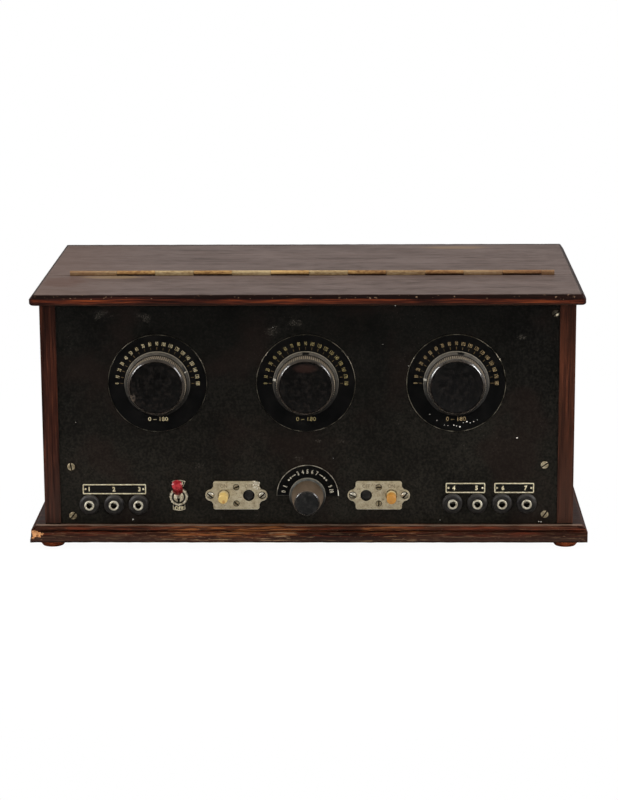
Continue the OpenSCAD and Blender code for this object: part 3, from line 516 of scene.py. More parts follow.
def top_finish(name, shift):
    """A painted grey sheen on the flat, a dark slope round it and a nose rubbed to orange with a painted
    highlight.
    """
    wood = stained_wood(name, "x", (54, 42, 37), (68, 56, 51), (83, 69, 63), shift, 0.5, 0.15, 0.3)
    cloud = wood.noise(30, 4, (0.5, 1, 1))
    streak = wood.noise(1.8, 5, (0.14, 1, 1), (0, shift, 0))
    flat = wood.step(wood.z, strip_high.z - 0.7 * mm, strip_high.z - 0.1 * mm)
    corner = wood.step(abs(wood.x), strip_high.x - 4 * mm, strip_high.x - 1 * mm)
    ragged = wood.z + (wood.fibre - 0.5) * 0.003 + (wood.noise(9, 3, (0.1, 1, 1)) - 0.5) * 0.002
    # The nose's front below the slope: rubbed orange wood, brightened as a painted highlight.
    band = wood.step(ragged, strip_high.z - slope_down, strip_high.z - slope_down - 0.7 * mm)
    under = wood.step(ragged, strip_low.z + nose_h, strip_low.z + nose_h / 2)
    rubbed = wood.noise(1.2, 4, (0.05, 1, 1), (0.2, 0, 0)) * 0.6
    rubbed += wood.noise(40, 3, (0.4, 1, 1), (0.5, 0, 0)) * 0.4
    rubbed_orange_highlight = wood.ramp(rubbed, (0.36, 0.46, 0.54, 0.66), (30, 9, 4), (54, 18, 7), (80, 31, 11), (112, 50, 19))
    bruise = wood.step(wood.noise(1.8, 2, (0.7, 1, 1), (0.7, 0, 0)), 0.68, 0.72)
    edge = wood.over(
        wood.mix((20, 7, 4), (52, 20, 11), wood.step(wood.figure, 0.5, 0.75)),
        ((132, 104, 80), bruise * 0.7),
        (rubbed_orange_highlight, band),
        ((40, 22, 14), under),
        ((34, 12, 7), corner * 0.8),
    )
    # Painted sheen: the flat is greyed in streaks along the grain, for the light above reflected in the
    # polish.
    flat_with_sheen = wood.over(
        wood.tone,
        ((94, 81, 76), wood.step(streak * 0.6 + cloud * 0.4, 0.38, 0.62) * 0.7),
        ((82, 62, 52), wood.step(wood.x + cloud * 0.06, -0.08, -0.2) * 0.4),
    )
    for stain_x, stain_y, wide, deep, tint in top_stains:
        across, inward = (wood.x - stain_x) / wide, (wood.y - stain_y) / deep
        spread = wood.step(across * across + inward * inward + (cloud - 0.5) * 2, 1, 0.1)
        flat_with_sheen = wood.mix(flat_with_sheen, tint, spread * 0.45)
    arris = wood.step(abs(wood.x), strip_high.x - 4.4 * mm, strip_high.x - 3.4 * mm)
    arris = arris.most(wood.step(wood.y, lid_high.y - 9 * mm, lid_high.y - 5.5 * mm))
    flat_with_sheen = wood.mix(flat_with_sheen, (24, 15, 11), arris * 0.85)
    figured = wood.figure * 0.6 + wood.fibre * 0.4
    bare = wood.ramp(figured, (0.38, 0.5, 0.62), (46, 27, 18), (68, 42, 29), (94, 62, 44))
    below = wood.step(wood.up, -0.7, -0.95)
    wood.feed(Base_Color=wood.over(edge, (flat_with_sheen, flat), (bare, below)))
    return wood


def round_mitres(bm, radius, out, reach):
    """Rounds the corners of the edge moulding that lie beyond a line on their way outwards."""
    mitres = []
    for edge in bm.edges:
        way = edge.verts[0].co - edge.verts[1].co
        at_corner = all(v.co.y * out > reach and abs(v.co.x) > strip_high.x - 4 * mm for v in edge.verts)
        if at_corner and abs(abs(way.x) - abs(way.y)) < 0.01 * mm:
            mitres.append(edge)
    chamfer(bm, mitres, radius, 3)


for node, body, shift, out, reach in (
    ("top_strip", "cabinet", 0.11, -1, -strip_low.y - 4 * mm),
    ("lid_board", "lid", 0.43, 1, lid_high.y - 4 * mm),
):
    bm = copy_of(node)
    round_mitres(bm, 1.6 * mm, out, reach)
    crosscut(bm, "x", evenly(strip_low.x, strip_high.x, 6 * mm))
    crosscut(bm, "y", (strip_low.y + 9 * mm, lid_high.y - 9 * mm))
    rub(bm, 0.16 * mm, 7 * mm, lambda p: p.y < front_y - 4 * mm or abs(p.x) > 0.2175 or p.y > 0.132)
    fit(node + "_worn", bm, [top_finish(node + "_polish", shift)], "top_wood", node, body=body)

# The long hinge: brass knuckles rolled from two leaves that are let into the edges of the strip and the
# lid, worn bright on top, with a painted shade on the lower part of each knuckle.


def middle_of(node):
    """The place of a CAD node's middle."""
    return [(low + high) / 2 for low, high in zip(*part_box(node))]


def brass(name, dark, middle, light):
    """Old brass: half of its shine is gone under lacquer and dirt."""
    metal = Finish(name)
    tarnish = metal.noise(14, 5, (0.25, 1, 1)) * 0.6 + metal.noise(1.5, 3, (0.5, 1, 1)) * 0.4
    metal.tone = metal.ramp(tarnish, (0.38, 0.5, 0.62), dark, middle, light)
    metal.feed(Base_Color=metal.tone, Metallic=0.2 + tarnish * 0.3, Roughness=0.3 + tarnish * 0.25)
    metal.relief(tarnish, 0.04)
    return metal


def hinge_brass(name, dark, middle, light, painted_shade_top, painted_shade_share):
    """The knuckles are orange along the back of their tops, and a painted shade darkens their lower parts."""
    metal = brass(name, dark, middle, light)
    behind = metal.step(metal.y, pin_y - 0.2 * mm, pin_y + 0.6 * mm)
    browner = metal.step(metal.x, 0.0, 0.18) * 0.6 + metal.step(metal.x, -0.12, -0.19) * 0.6
    wavy = metal.z + (metal.noise(2, 3, (0.2, 1, 1)) - 0.5) * 0.001
    # Painted shade: the lower part of each knuckle is darkened.
    low = metal.step(wavy, painted_shade_top + 0.4 * mm, painted_shade_top - 0.4 * mm)
    metal.coat(((118, 78, 54), browner), ((132, 78, 40), behind * 0.8), ((58, 34, 20), low * painted_shade_share))
    return metal


pin_y, pin_z = middle_of("hinge_pin")[1:]
pale_brass = hinge_brass("pale_brass", (124, 98, 64), (158, 134, 96), (182, 160, 120), pin_z - 1.2 * mm, 0.7)
warm_brass = hinge_brass("warm_brass", (110, 76, 42), (164, 126, 76), (194, 158, 102), pin_z - 0.45 * mm, 0.9)
dress(pale_brass, "hinge_leaf_fixed")
dress(warm_brass, "hinge_leaf_lid", "hinge_pin")

# The front panel: a sheet of ebonite, gone dull and brownish, with smudges and scratches of grey dust,
# held by slotted brass screws.
panel_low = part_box("front_panel")[0]
panel_y = panel_low.y
smudges = (
    (-0.1325, 0.1898, 14, 7), (-0.0275, 0.179, 12, 10), (-0.0082, 0.1855, 10, 5), (0.1726, 0.1738, 9, 5),
    (-0.1662, 0.1923, 18, 7), (-0.0894, 0.0676, 9, 6), (0.0073, 0.0884, 7, 3), (0.0259, 0.0884, 6, 3),
    (-0.0065, 0.0742, 9, 5), (-0.0713, 0.0256, 2, 6), (-0.0419, 0.0256, 2, 5),
)
ebonite = Finish("ebonite", Specular_IOR_Level=0.2)
mottle = ebonite.noise(40, 5)
fine = ebonite.noise(1.8, 4)
tone = mottle * 0.25 + fine * 0.75
skin = ebonite.mix(
    ebonite.ramp(tone, (0.4, 0.5, 0.6), (10, 9, 6), (15, 14, 10), (23, 21, 16)),
    ebonite.ramp(tone, (0.4, 0.5, 0.6), (19, 16, 11), (28, 25, 18), (38, 34, 26)),
    ebonite.step(ebonite.z, 0.2, 0.03))
dusty = ebonite.step(ebonite.noise(1, shift=(0.3, 0, 0)), 0.5, 0.66)
stray = (ebonite.noise(5, 4, shift=(0.7, 0, 0)) - 0.5) * 6
hazes = [ebonite.patch(x, z, width * mm, height * mm, 0.9, stray) for x, z, width, height in smudges]
haze = hazes[0]
for mark in hazes[1:]:
    haze = haze.most(mark)
speckle = ebonite.step(ebonite.noise(1.2, 2, shift=(0.1, 0.2, 0.3)), 0.65, 0.72)
speckle *= ebonite.step(mottle, 0.4, 0.7)
browned = ebonite.step(ebonite.noise(55, shift=(0.9, 0, 0)), 0.48, 0.66)
ebonite.feed(
    Base_Color=ebonite.over(
        skin, ((36, 20, 13), browned * 0.4), ((72, 67, 58), haze * (0.06 + dusty * 0.8)),
        ((84, 78, 68), speckle * 0.5)),
    Roughness=0.45 + fine * 0.2 + haze * 0.15)
ebonite.relief(fine, 0.02)
dress(ebonite, "front_panel")


def turned(profile, steps):
    """Turns a closed profile of radii and heights in millimetres about Z, as on a lathe."""
    bm = bmesh.new()
    points = [bm.verts.new((radius * mm, 0, height * mm)) for radius, height in profile]
    edges = [bm.edges.new(pair) for pair in zip(points, points[1:] + points[:1])]
    bmesh.ops.spin(
        bm, geom=points + edges, axis=(0, 0, 1), cent=(0, 0, 0), dvec=(0, 0, 0),
        angle=math.tau, steps=steps, use_merge=True)
    bmesh.ops.remove_doubles(bm, verts=bm.verts, dist=0.001 * mm)
    bmesh.ops.recalc_face_normals(bm, faces=bm.faces)
    return bm


def facing(x, z, out=0.0):
    """Stands a mesh made on its back on the panel, that far out of its face."""
    return Matrix.Translation((x, panel_y - out, z)) @ Matrix.Rotation(math.pi / 2, 4, "X")


def on_panel(x, z, out=0.0):
    """The same from millimetres: sideways from the middle, and up from the panel's lower edge."""
    return facing(x * mm, panel_low.z + z * mm, out * mm)


def add(bm, part, place=Matrix(), index=0):
    """Puts a part in a mesh, at its place and with the finish of that number."""
    if index:
        for face in part.faces:
            face.material_index = index
    bmesh.ops.transform(part, matrix=place, verts=part.verts)
    held = bpy.data.meshes.new("held")
    part.to_mesh(held)
    part.free()
    bm.from_mesh(held)
    bpy.data.meshes.remove(held)


def sawn(bm, at, way):
    """Saws off what lies beyond a plane and closes the cut. Gives the new faces."""
    cut = bmesh.ops.bisect_plane(
        bm, geom=bm.verts[:] + bm.edges[:] + bm.faces[:], plane_co=at, plane_no=way, clear_outer=True)
    edge = [part for part in cut["geom_cut"] if isinstance(part, bmesh.types.BMEdge)]
    return bmesh.ops.holes_fill(bm, edges=edge, sides=0)["faces"]


def slotted_head(radius, height, slot):
    """A round screw head, made as two halves on a disc, with painted shade in the slot and round the head."""
    seat = height * 0.35
    dome = [(0, seat), (radius, seat)]
    for a in (math.radians(angle) for angle in (22, 39, 56, 73, 90)):
        dome.append((radius * math.cos(a), seat + (height - seat) * math.sin(a)))
    bm = bmesh.new()
    ring, film = radius + 0.4, 0.05
    add(bm, turned([(0, 0), (ring, 0), (ring, film), (radius, film), (radius, seat), (0, seat)], 32), index=1)
    for side in (1, -1):
        half = turned(dome, 32)
        for face in sawn(half, (side * slot / 2 * mm, 0, 0), (-side, 0, 0)):
            face.material_index = 1
        add(bm, half)
    return bm


def drive(bm, head, stem_low, stem_high, place, turn):
    """Sets a screw in its place, with its slot turned by that many degrees."""
    stood = place @ Matrix.Rotation(math.radians(turn + 90), 4, "Z")
    add(bm, head, stood)
    add(bm, turned([(0, stem_low), (1.5, stem_low), (1.5, stem_high), (0, stem_high)], 16), stood)


def speckled(name, a, b, grain, roughness, **constants):
    """A plain paint or dirt between two shades."""
    paint = Finish(name, Roughness=roughness, **constants)
    paint.feed(Base_Color=paint.mix(a, b, paint.noise(grain)))
    return paint


# A near black paint that stands for shade: in the screw slots and round the screw heads, in the socket bores
# and on the walls of the button holes.
painted_shade_black = speckled("painted_shade_black", (14, 10, 7), (34, 27, 20), 1, 0.8, Specular_IOR_Level=0.1)
screw_brass = brass("screw_brass", (112, 98, 72), (168, 154, 124), (216, 204, 176))
bm = bmesh.new()
for x, z, turn in ((-192.6, 48, 100), (-192.1, 6.9, 50), (191.4, 49.4, 35), (192, 8.2, 55), (198.7, 174, 40)):
    drive(bm, slotted_head(3.1, 1.3, 1.1), -13, 0.1, on_panel(x, z), turn)
corner_z = panel_low.z + 174 * mm
clogged = screw_brass.patch(0.1987, corner_z, 9 * mm, 9 * mm)
clogged *= 1 - screw_brass.patch(0.1994, corner_z - 0.5 * mm, 2.8 * mm, 4 * mm, 0.6)
screw_brass.coat(((26, 22, 16), clogged * 0.93))
fit("panel_screws_slotted", bm, [screw_brass, painted_shade_black], "screw_brass", "panel_screws")

# White paint flecks on the panel and on the right dial, flat drops about a millimetre wide, from a wall or
# a shelf that was painted near the set.
panel_flecks = (
    (168.9, 90.8, 1.1), (189.2, 20.6, 0.8), (-143.2, 22.6, 1), (81.1, 150.2, 0.55), (107.1, 22.2, 0.5),
    (-92.0, 113.0, 0.5), (-27.5, 182.0, 0.35), (20.5, 74.0, 0.4), (-188.0, 104.0, 0.4), (60.5, 168.0, 0.35),
    (187.4, 20.9, 0.7), (70.4, 199.4, 0.5),
)
dial_flecks = (
    (104.2, 105.6, 0.7), (113, 101.2, 0.6), (117.8, 101.6, 0.9), (122.7, 100.2, 1), (128.3, 104.5, 0.9),
    (133.8, 104.5, 0.7), (136.6, 105.9, 0.5), (98.4, 110.5, 0.6), (110.2, 101.6, 0.5), (119.9, 100.9, 0.6),
    (131, 103.5, 0.6), (125.4, 103.6, 0.5),
)
fleck_paint = speckled("paint_flecks", (240, 238, 230), (196, 190, 176), 0.5, 0.7)
rng = random.Random(7)
bm = bmesh.new()
for out, flecks in ((0, panel_flecks), (0.62 * mm, dial_flecks)):
    for x, z, size in flecks:
        fleck = bmesh.new()
        bmesh.ops.create_icosphere(fleck, subdivisions=2, radius=size * mm / 2)
        bmesh.ops.scale(fleck, verts=fleck.verts, vec=(1 + rng.random() * 0.5, 1, 0.3))
        rub(fleck, 0.12 * mm, 0.4 * mm, lambda p: True)
        add(bm, fleck, facing(x * mm, z * mm, out) @ Matrix.Rotation(rng.random() * 3, 4, "Z"))
fit("paint_flecks", bm, [fleck_paint], "label_metal")

# The dials: black enamelled discs with a thin rolled rim of nickel, numbered 0 to 180 from left to right
# over the top. The figures and the tick beside each are filled with cream and gone golden.
plate_sheet = 0.6
fill_t = 0.05


def letters(text, height, squeeze, bold=0.02, thickness=fill_t):
    """Letters lying on their back round the origin, narrow as an engraver's stencils."""
    curve = bpy.data.curves.new("letters", "FONT")
    curve.body = text
    curve.extrude = thickness * mm / 2
    curve.offset = bold
    curve.resolution_u = 2
    shape = bpy.data.objects.new("letters", curve)
    mesh = bpy.data.meshes.new_from_object(shape)
    bm = bmesh.new()
    bm.from_mesh(mesh)
    bpy.data.objects.remove(shape)
    bpy.data.meshes.remove(mesh)
    xs = [vert.co.x for vert in bm.verts]
    ys = [vert.co.y for vert in bm.verts]
    middle = Vector(((min(xs) + max(xs)) / 2, (min(ys) + max(ys)) / 2, 0))
    scale = height * mm / (max(ys) - min(ys))
    bmesh.ops.translate(bm, verts=bm.verts, vec=-middle)
    bmesh.ops.scale(bm, verts=bm.verts, vec=(scale * squeeze, scale, 1))
    return bm


def bar(length, width, thickness=fill_t):
    """A filled line along X, or a small plate."""
    bm = bmesh.new()
    bmesh.ops.create_cube(bm, size=1)
    bmesh.ops.scale(bm, verts=bm.verts, vec=(length * mm, width * mm, thickness * mm))
    return bm


def disc(radius, sides=16, thickness=fill_t):
    """A filled dot, or a nut."""
    bm = bmesh.new()
    bmesh.ops.create_cone(
        bm, cap_ends=True, segments=sides, radius1=radius * mm, radius2=radius * mm, depth=thickness * mm)
    return bm


def on_ring(radius, angle):
    """A place on a circle with its top pointing outwards; the angle runs from 3 o'clock, in degrees."""
    turn = Matrix.Rotation(math.radians(angle), 4, "Z")
    return turn @ Matrix.Translation((radius * mm, 0, 0)) @ Matrix.Rotation(-math.pi / 2, 4, "Z")


def enamel_plate(name, x, z, rim_from, shine=1.0):
    """Black enamel inside a bare nickel rim, with faint brownish clouds."""
    plate = Finish(name, Specular_IOR_Level=0.35)
    rim = plate.step(plate.away(x, z), (rim_from - 0.05) * mm, (rim_from + 0.05) * mm)
    grain = plate.noise(1.6)
    cloud = plate.noise(14, 4, shift=(x, 0, z)) * 0.7 + grain * 0.3
    stain = plate.noise(9, 4, shift=(z, x, 0))
    metal = plate.ramp(stain, (0.36, 0.48, 0.6), (40, 36, 28), (96, 90, 76), (172, 164, 144))
    plate.feed(
        Base_Color=plate.over(
            plate.ramp(cloud, (0.38, 0.52, 0.66), (6, 6, 6), (11, 10, 9), (20, 17, 14)),
            (plate.mix((22, 20, 16), metal, shine), rim)),
        Metallic=rim * 0.7, Roughness=0.38 + grain * 0.2 - rim * 0.1)
    plate.relief(grain, 0.01)
    return plate


def filler(name, shift, pale, dull):
    """Old filler in the engraving, patchy between two shades."""
    paint = Finish(name, Roughness=0.6)
    patchy = paint.noise(4, shift=(shift, 0, 0)) * 0.5 + paint.noise(0.7, 2) * 0.5
    paint.feed(Base_Color=paint.mix(pale, dull, paint.step(patchy, 0.4, 0.6)))
    return paint


dial_r = 40
dial_profile = [
    (9, 0), (dial_r, 0), (dial_r, plate_sheet), (dial_r - 0.1, 0.82), (dial_r - 0.2, 0.88),
    (dial_r - 0.35, 0.82), (dial_r - 0.42, plate_sheet), (9, plate_sheet),
]
dials = {
    "left": ((208, 194, 156), (164, 146, 102), 0.45),
    "middle": ((164, 148, 94), (124, 108, 64), 0.7),
    "right": ((172, 148, 104), (130, 108, 70), 0.95),
}
dial_at = {}
for number, (side, (bright, dull, shine)) in enumerate(dials.items()):
    x, _, z = middle_of("scale_plate_" + side)
    dial_at[side] = (x, z)
    bm = bmesh.new()
    add(bm, turned(dial_profile, 128), facing(x, z))
    enamel = enamel_plate("dial_enamel_" + side, x, z, dial_r - 0.5, shine)
    fit("dial_plate_" + side, bm, [enamel], "etched_plate", "scale_plate_" + side)
    bm = bmesh.new()
    front = facing(x, z, plate_sheet * mm)
    for degrees in range(0, 181, 10):
        add(bm, letters(str(degrees), 3.2, 0.54, 0.005), front @ on_ring(32.6, 180 - degrees))
        add(bm, bar(0.4, 2.3), front @ on_ring(28.7, 180 - degrees), 1)
    add(bm, letters("0 – 180", 3.4, 1.1, 0), facing(x, z - 29.4 * mm, plate_sheet * mm))
    figures = filler("figure_filler_" + side, number * 0.3, bright, dull)
    ticks = filler("tick_filler_" + side, number * 0.3, (120, 96, 56), (70, 58, 36))
    fit("dial_figures_" + side, bm, [figures, ticks], "etched_plate")

# The tuning knobs: turned ebonite with a skirt over the dial and a fine straight knurl. Dust lies in the
# knurl and on the upper side of the skirt, and their upward faces carry painted light from above as well;
# painted shade lies in the valley at the grip's foot and in the knurl's grooves. A white line on the skirt
# reads the scale, beside a small dark notch.
knob_back = 1.1
grip_from, grip_to = 5.6, 15.3
slope_r, slope_foot, slope = 26.3, 2.9, 1.28


def knurled(profile, teeth, low, high, depth):
    """A turned knob with fine upright teeth cut in its grip between two heights."""
    bm = turned(profile, teeth * 2)
    for vert in bm.verts:
        index = round(math.atan2(vert.co.y, vert.co.x) / (math.pi / teeth))
        if low * mm < vert.co.z < high * mm and vert.co.xy.length > 0.01 and index % 2:
            shrink = 1 - depth * mm / vert.co.xy.length
            vert.co.x *= shrink
            vert.co.y *= shrink
    return bm


def cone(radius):
    """The height of the skirt's slope at a radius."""
    return slope_foot + (slope_r - radius) * slope


knob_profile = [
    (0, 4.6), (9, 4.6), (9, knob_back), (26.25, knob_back), (26.5, 1.35), (26.5, 2.6), (slope_r, slope_foot),
]
for groove in (25.9, 25.5, 24.7):
    outer, inner = groove + 0.1, groove - 0.1
    knob_profile += [(outer, cone(outer)), (groove, cone(groove) - 0.16), (inner, cone(inner))]
knob_profile += [
    (24.4, 5.4), (24.25, 5.55), (23.1, grip_from), (23.5, grip_from + 0.15), (23.5, 15), (23.1, grip_to),
    (22.6, 16), (22.25, 16.6), (21.4, 17.45), (21, 17.75), (20.6, 17.85), (20.2, 17.8), (19.9, 17.7),
    (0, 17.7),
]


def near_mark(knob, reading, inner, outer, reach, widening=0.0):
    """The faces on the skirt's slope that lie within some degrees of a reading."""
    near = []
    for face in knob.faces:
        middle = face.calc_center_median()
        radius = middle.xy.length / mm
        off = (math.degrees(math.atan2(middle.y, middle.x)) - reading + 180) % 360 - 180
        if inner < radius < outer and middle.z > 2.5 * mm and abs(off) < reach + (radius - inner) * widening:
            near.append(face)
    return near


def knob_finish(
    name, x, z, face, skirt_dust_lit, knurl_dust_lit, face_r, skirt_to, knurl_to, skirt_r,
    groove_r=0.0, polished=0.45, chipped=0, rusty=0,
):
    """Ebonite, polished on the face, with dust and painted light from above where skirt and knurl face
    upwards, and, given a groove radius, painted shade in the valley and the knurl's grooves.
    """
    knob = Finish(name, Specular_IOR_Level=polished)
    radius = knob.away(x, z)
    out = panel_y - knob.y

    def ring(start, end):
        """Comes on between two radii."""
        return knob.step(radius, start * mm, end * mm)

    blotch = knob.noise(2.6, 4, shift=(x, 0, 0), distortion=0.5)
    grain = knob.noise(0.9)
    # Where the faces look upwards; the lighter colour it lays on is dust and also painted light from above.
    settled = knob.step(knob.up + (blotch - 0.5) * 0.5, -0.5, 0.75)
    smear = knob.step(knob.noise(9, 4, shift=(0, 0, x), distortion=1), 0.36, 0.58)
    on_grip = knob.step(out, skirt_to * mm, (skirt_to + 0.2) * mm)
    on_face = knob.step(out, knurl_to * mm, (knurl_to + 0.25) * mm)
    # Painted shade in the valley between the skirt's slope and the foot of the grip.
    valley_shade = ring(skirt_r - 2.1, skirt_r - 2.25) * ring(skirt_r - 2.95, skirt_r - 2.85)
    rust = knob.patch(x, z + 15.5 * mm, 24 * mm, 9 * mm, 0.9) * rusty
    dent = knob.patch(x - 18.6 * mm, z - 8.4 * mm, 6 * mm, 8 * mm, 0.9) * chipped
    dent *= knob.step(grain, 0.4, 0.6)
    skirt = knob.over(
        (18, 16, 14), (skirt_dust_lit, settled * (0.35 + smear * 0.45 + grain * 0.4)),
        # a painted highlight along the skirt's outer edge, where it faces upwards
        ((126, 118, 102), ring(skirt_r - 0.7, skirt_r - 0.3) * settled * 0.7))
    knurl = knob.over(
        (26, 23, 19), (knurl_dust_lit, settled * (0.75 + grain * 0.4)),
        # painted shade inside a radius of 23 mm, in the bottoms of the knurl's grooves
        ((20, 17, 14), ring(groove_r - 0.2, groove_r - 0.5) * 0.9))
    polish = knob.over(
        knob.ramp(blotch * 0.7 + grain * 0.3, (0.36, 0.5, 0.64), *face), ((60, 30, 17), rust * 0.5),
        ((58, 52, 46), ring(face_r, face_r + 0.3) * (0.3 + smear * 0.5)))
    knob.feed(
        Base_Color=knob.over(
            skirt, (knurl, on_grip), ((14, 12, 10), valley_shade * min(groove_r, 0.85)), (polish, on_face),
            ((86, 74, 62), dent * on_face * 0.8)),
        Roughness=0.62 + blotch * 0.2 - on_face * (0.3 + ring(face_r - 1, face_r - 0.4) * 0.2))
    knob.relief(blotch * 0.6 + grain * 0.4, 0.02)
    return knob


white_line = speckled("white_line", (190, 184, 170), (120, 114, 102), 0.8, 0.6)
notch_black = speckled("notch_black", (8, 7, 6), (18, 16, 14), 1.5, 0.5)
near_black = ((7, 6, 5), (12, 10, 8), (30, 23, 18))
for side, notch, index, polished, chipped, rusty in (
    ("left", 30, 23, 0.45, 1, 0), ("middle", 90, 172, 0.45, 0, 1), ("right", 82, 172, 0.8, 0, 0),
):
    x, z = dial_at[side]
    knob = knurled(knob_profile, 88, grip_from + 0.1, grip_to - 0.1, 0.7)
    for face in near_mark(knob, index, 24.3, 26.4, 1.4):
        face.material_index = 1
    pocket = near_mark(knob, notch, 24.4, 26, 5, 1.6)
    bmesh.ops.inset_region(knob, faces=pocket, thickness=0.08 * mm, depth=-0.5 * mm, use_even_offset=True)
    for face in pocket:
        face.material_index = 2
    bm = bmesh.new()
    add(bm, knob, facing(x, z))
    finish = knob_finish(
        "knob_ebonite_" + side, x, z, near_black, (80, 74, 64), (132, 118, 98), 21, 5.45, 16.2, 26.5,
        23.5, polished, chipped, rusty)
    fit("tuning_knob_" + side, bm, [finish, white_line, notch_black], "knob_ebonite", "knob_" + side,
        body="dial_" + side)

# The coupling control: a half-round enamelled plate with a cream line round it, numbers and dots, and a
# tall knob that tapers, finely knurled, on a skirt of its own.
couple_x, couple_z = middle_of("coupling_plate")[0], middle_of("coupling_knob")[2]
half_r = 25.2
straight = -0.5
half_t = 0.5
cream = Finish("cream_line", Roughness=0.5)
blob = cream.step(cream.x, couple_x + 20 * mm, couple_x + 23 * mm)
blob *= cream.step(cream.z, couple_z + 5 * mm, couple_z + 3.5 * mm)
cream.feed(Base_Color=cream.over(
    (92, 86, 74), ((160, 152, 134), cream.step(cream.noise(5, 4), 0.4, 0.6)), ((236, 230, 212), blob)))


def half(profile):
    """A turned disc, sawn off at the plate's straight edge."""
    whole = turned(profile, 128)
    sawn(whole, (0, straight * mm, 0), (0, -1, 0))
    return whole


bm = bmesh.new()
stood = facing(couple_x, couple_z)
add(bm, half([(9, 0), (half_r - 0.5, 0), (half_r - 0.5, half_t), (9, half_t)]), stood)
add(bm, half([
    (half_r - 0.6, 0), (half_r, 0), (half_r, 0.6), (half_r - 0.1, 0.7), (half_r - 0.35, 0.7),
    (half_r - 0.45, half_t), (half_r - 0.6, half_t),
]), stood, 1)
add(bm, bar(9.5, 0.5), facing(couple_x - 19.5 * mm, couple_z + (straight + 0.3) * mm, half_t * mm), 2)
couple_enamel = enamel_plate("coupling_enamel", couple_x, couple_z, 30)
faint_line = speckled("faint_line", (40, 37, 32), (66, 62, 54), 3, 0.6)
fit("coupling_plate_enamelled", bm, [couple_enamel, cream, faint_line], "etched_plate", "coupling_plate")

figure_r = 19.8
figures = {"0": 171, "1": 158, "3": 113, "4": 101.5, "5": 90, "6": 78.5, "7": 67, "9": 22, "10": 10}
bm = bmesh.new()
front = facing(couple_x, couple_z, half_t * mm)
for text, angle in figures.items():
    add(bm, letters(text, 3.5, 0.75), front @ on_ring(figure_r, angle))
for side in (1, -1):
    for lean in (43.5, 50):
        add(bm, disc(0.75), front @ on_ring(figure_r, 90 + side * lean))
    add(bm, bar(3.4, 0.55), front @ on_ring(figure_r, 90 + side * 34.5))
fit("coupling_figures", bm, [filler("cream_figures", 0.5, (206, 198, 178), (158, 150, 130))], "etched_plate")

couple_profile = [
    (0, 3.4), (9, 3.4), (9, knob_back), (14.6, knob_back), (14.85, 1.35), (14.85, 2.2), (14.6, 2.6),
    (13.5, 3.9), (13.1, 4.2), (13.2, 4.35), (10.75, 26.2), (10.3, 26.6), (9.9, 27.2), (9.4, 27.75), (9, 28),
    (0, 28),
]
slate = ((17, 17, 16), (27, 26, 25), (44, 42, 39))
bm = bmesh.new()
add(bm, knurled(couple_profile, 84, 4.25, 26.4, 0.4), stood)
couple_ebonite = knob_finish(
    "knob_ebonite_coupling", couple_x, couple_z, slate, (88, 88, 82), (86, 70, 52), 9.4, 4.2, 26.6, 14.85)
fit("coupling_knob_turned", bm, [couple_ebonite], "knob_ebonite", "coupling_knob", body="coupling")

# The plug sockets: a domed black collar round each nickel tube, in a row under label plates of black
# enamel with a bare border, numbered 1 to 7.


def mottled(name, rough, rougher, grain, places, *colours, cloud=None, share=0.6, depth=0, **constants):
    """A finish whose gloss follows a fine grain, and whose colour follows it and any broader cloud."""
    finish = Finish(name, **constants)
    fine = finish.noise(*grain)
    tone = finish.noise(*cloud) * share + fine * (1 - share) if cloud else fine
    finish.tone = finish.ramp(tone, places, *colours)
    finish.feed(Base_Color=finish.tone, Roughness=rough + fine * rougher)
    if depth:
        finish.relief(fine, depth)
    return finish


collar_black = mottled(
    "collar_black", 0.42, 0.25, (0.8,), (0.38, 0.52, 0.66), (26, 23, 22), (36, 33, 30), (48, 44, 40),
    cloud=(5, 4), share=0.7, depth=0.01, Specular_IOR_Level=0.35)
# Painted highlight: lighter where the surface faces upwards.
collar_black.coat(((86, 82, 77), collar_black.step(collar_black.up, 0.1, 0.9) * 0.25))
collars = copy_of("socket_collars")
fit("socket_collars_moulded", collars, [collar_black], "bakelite", "socket_collars", smooth=50)


def nickel_finish(name, dark, middle, light, metallic, size=2.5, shift=0.0):
    """Nickel plate gone creamy, with brown-grey stains."""
    metal = Finish(name)
    stain = metal.noise(size, 4, shift=(shift, 0, shift)) * 0.6 + metal.noise(size * 0.35) * 0.4
    metal.tone = metal.ramp(stain, (0.36, 0.5, 0.64), dark, middle, light)
    metal.feed(Base_Color=metal.tone, Metallic=metallic - stain * 0.2, Roughness=0.22 + stain * 0.3)
    metal.relief(stain, 0.02)
    return metal


socket_nickel = nickel_finish("socket_nickel", (160, 148, 124), (200, 192, 170), (226, 220, 202), 0.55)
plug_r = 2
socket_profile = [
    (0, -14.9), (3.5, -14.9), (3.5, 4), (4.05, 4), (4.05, 4.4), (3.95, 4.75), (3.65, 5), (3.3, 5.1),
    (2.9, 5.05), (2.6, 4.85), (2.45, 4.55), (2.4, 4.2), (2.4, 3.4), (plug_r, 3.1), (plug_r, -12.9),
    (0, -12.9),
]
bm = bmesh.new()
for x, z in [(-178.2, 16.3), (-158.2, 16.3), (-138.2, 16.3)] + [(117.2 + 20 * i, 17.3) for i in range(4)]:
    tube = turned(socket_profile, 48)
    # Painted shade: the faces inside the bore take the near black paint.
    for face in tube.faces:
        middle = face.calc_center_median()
        if middle.xy.length < 2.44 * mm and middle.z > -12.95 * mm:
            face.material_index = 1
    add(bm, tube, on_panel(x, z))
    add(bm, disc(5.2, 6, 3), on_panel(x, z, -5.5))
fit("sockets_turned", bm, [socket_nickel, painted_shade_black], "nickel", "sockets", smooth=50)

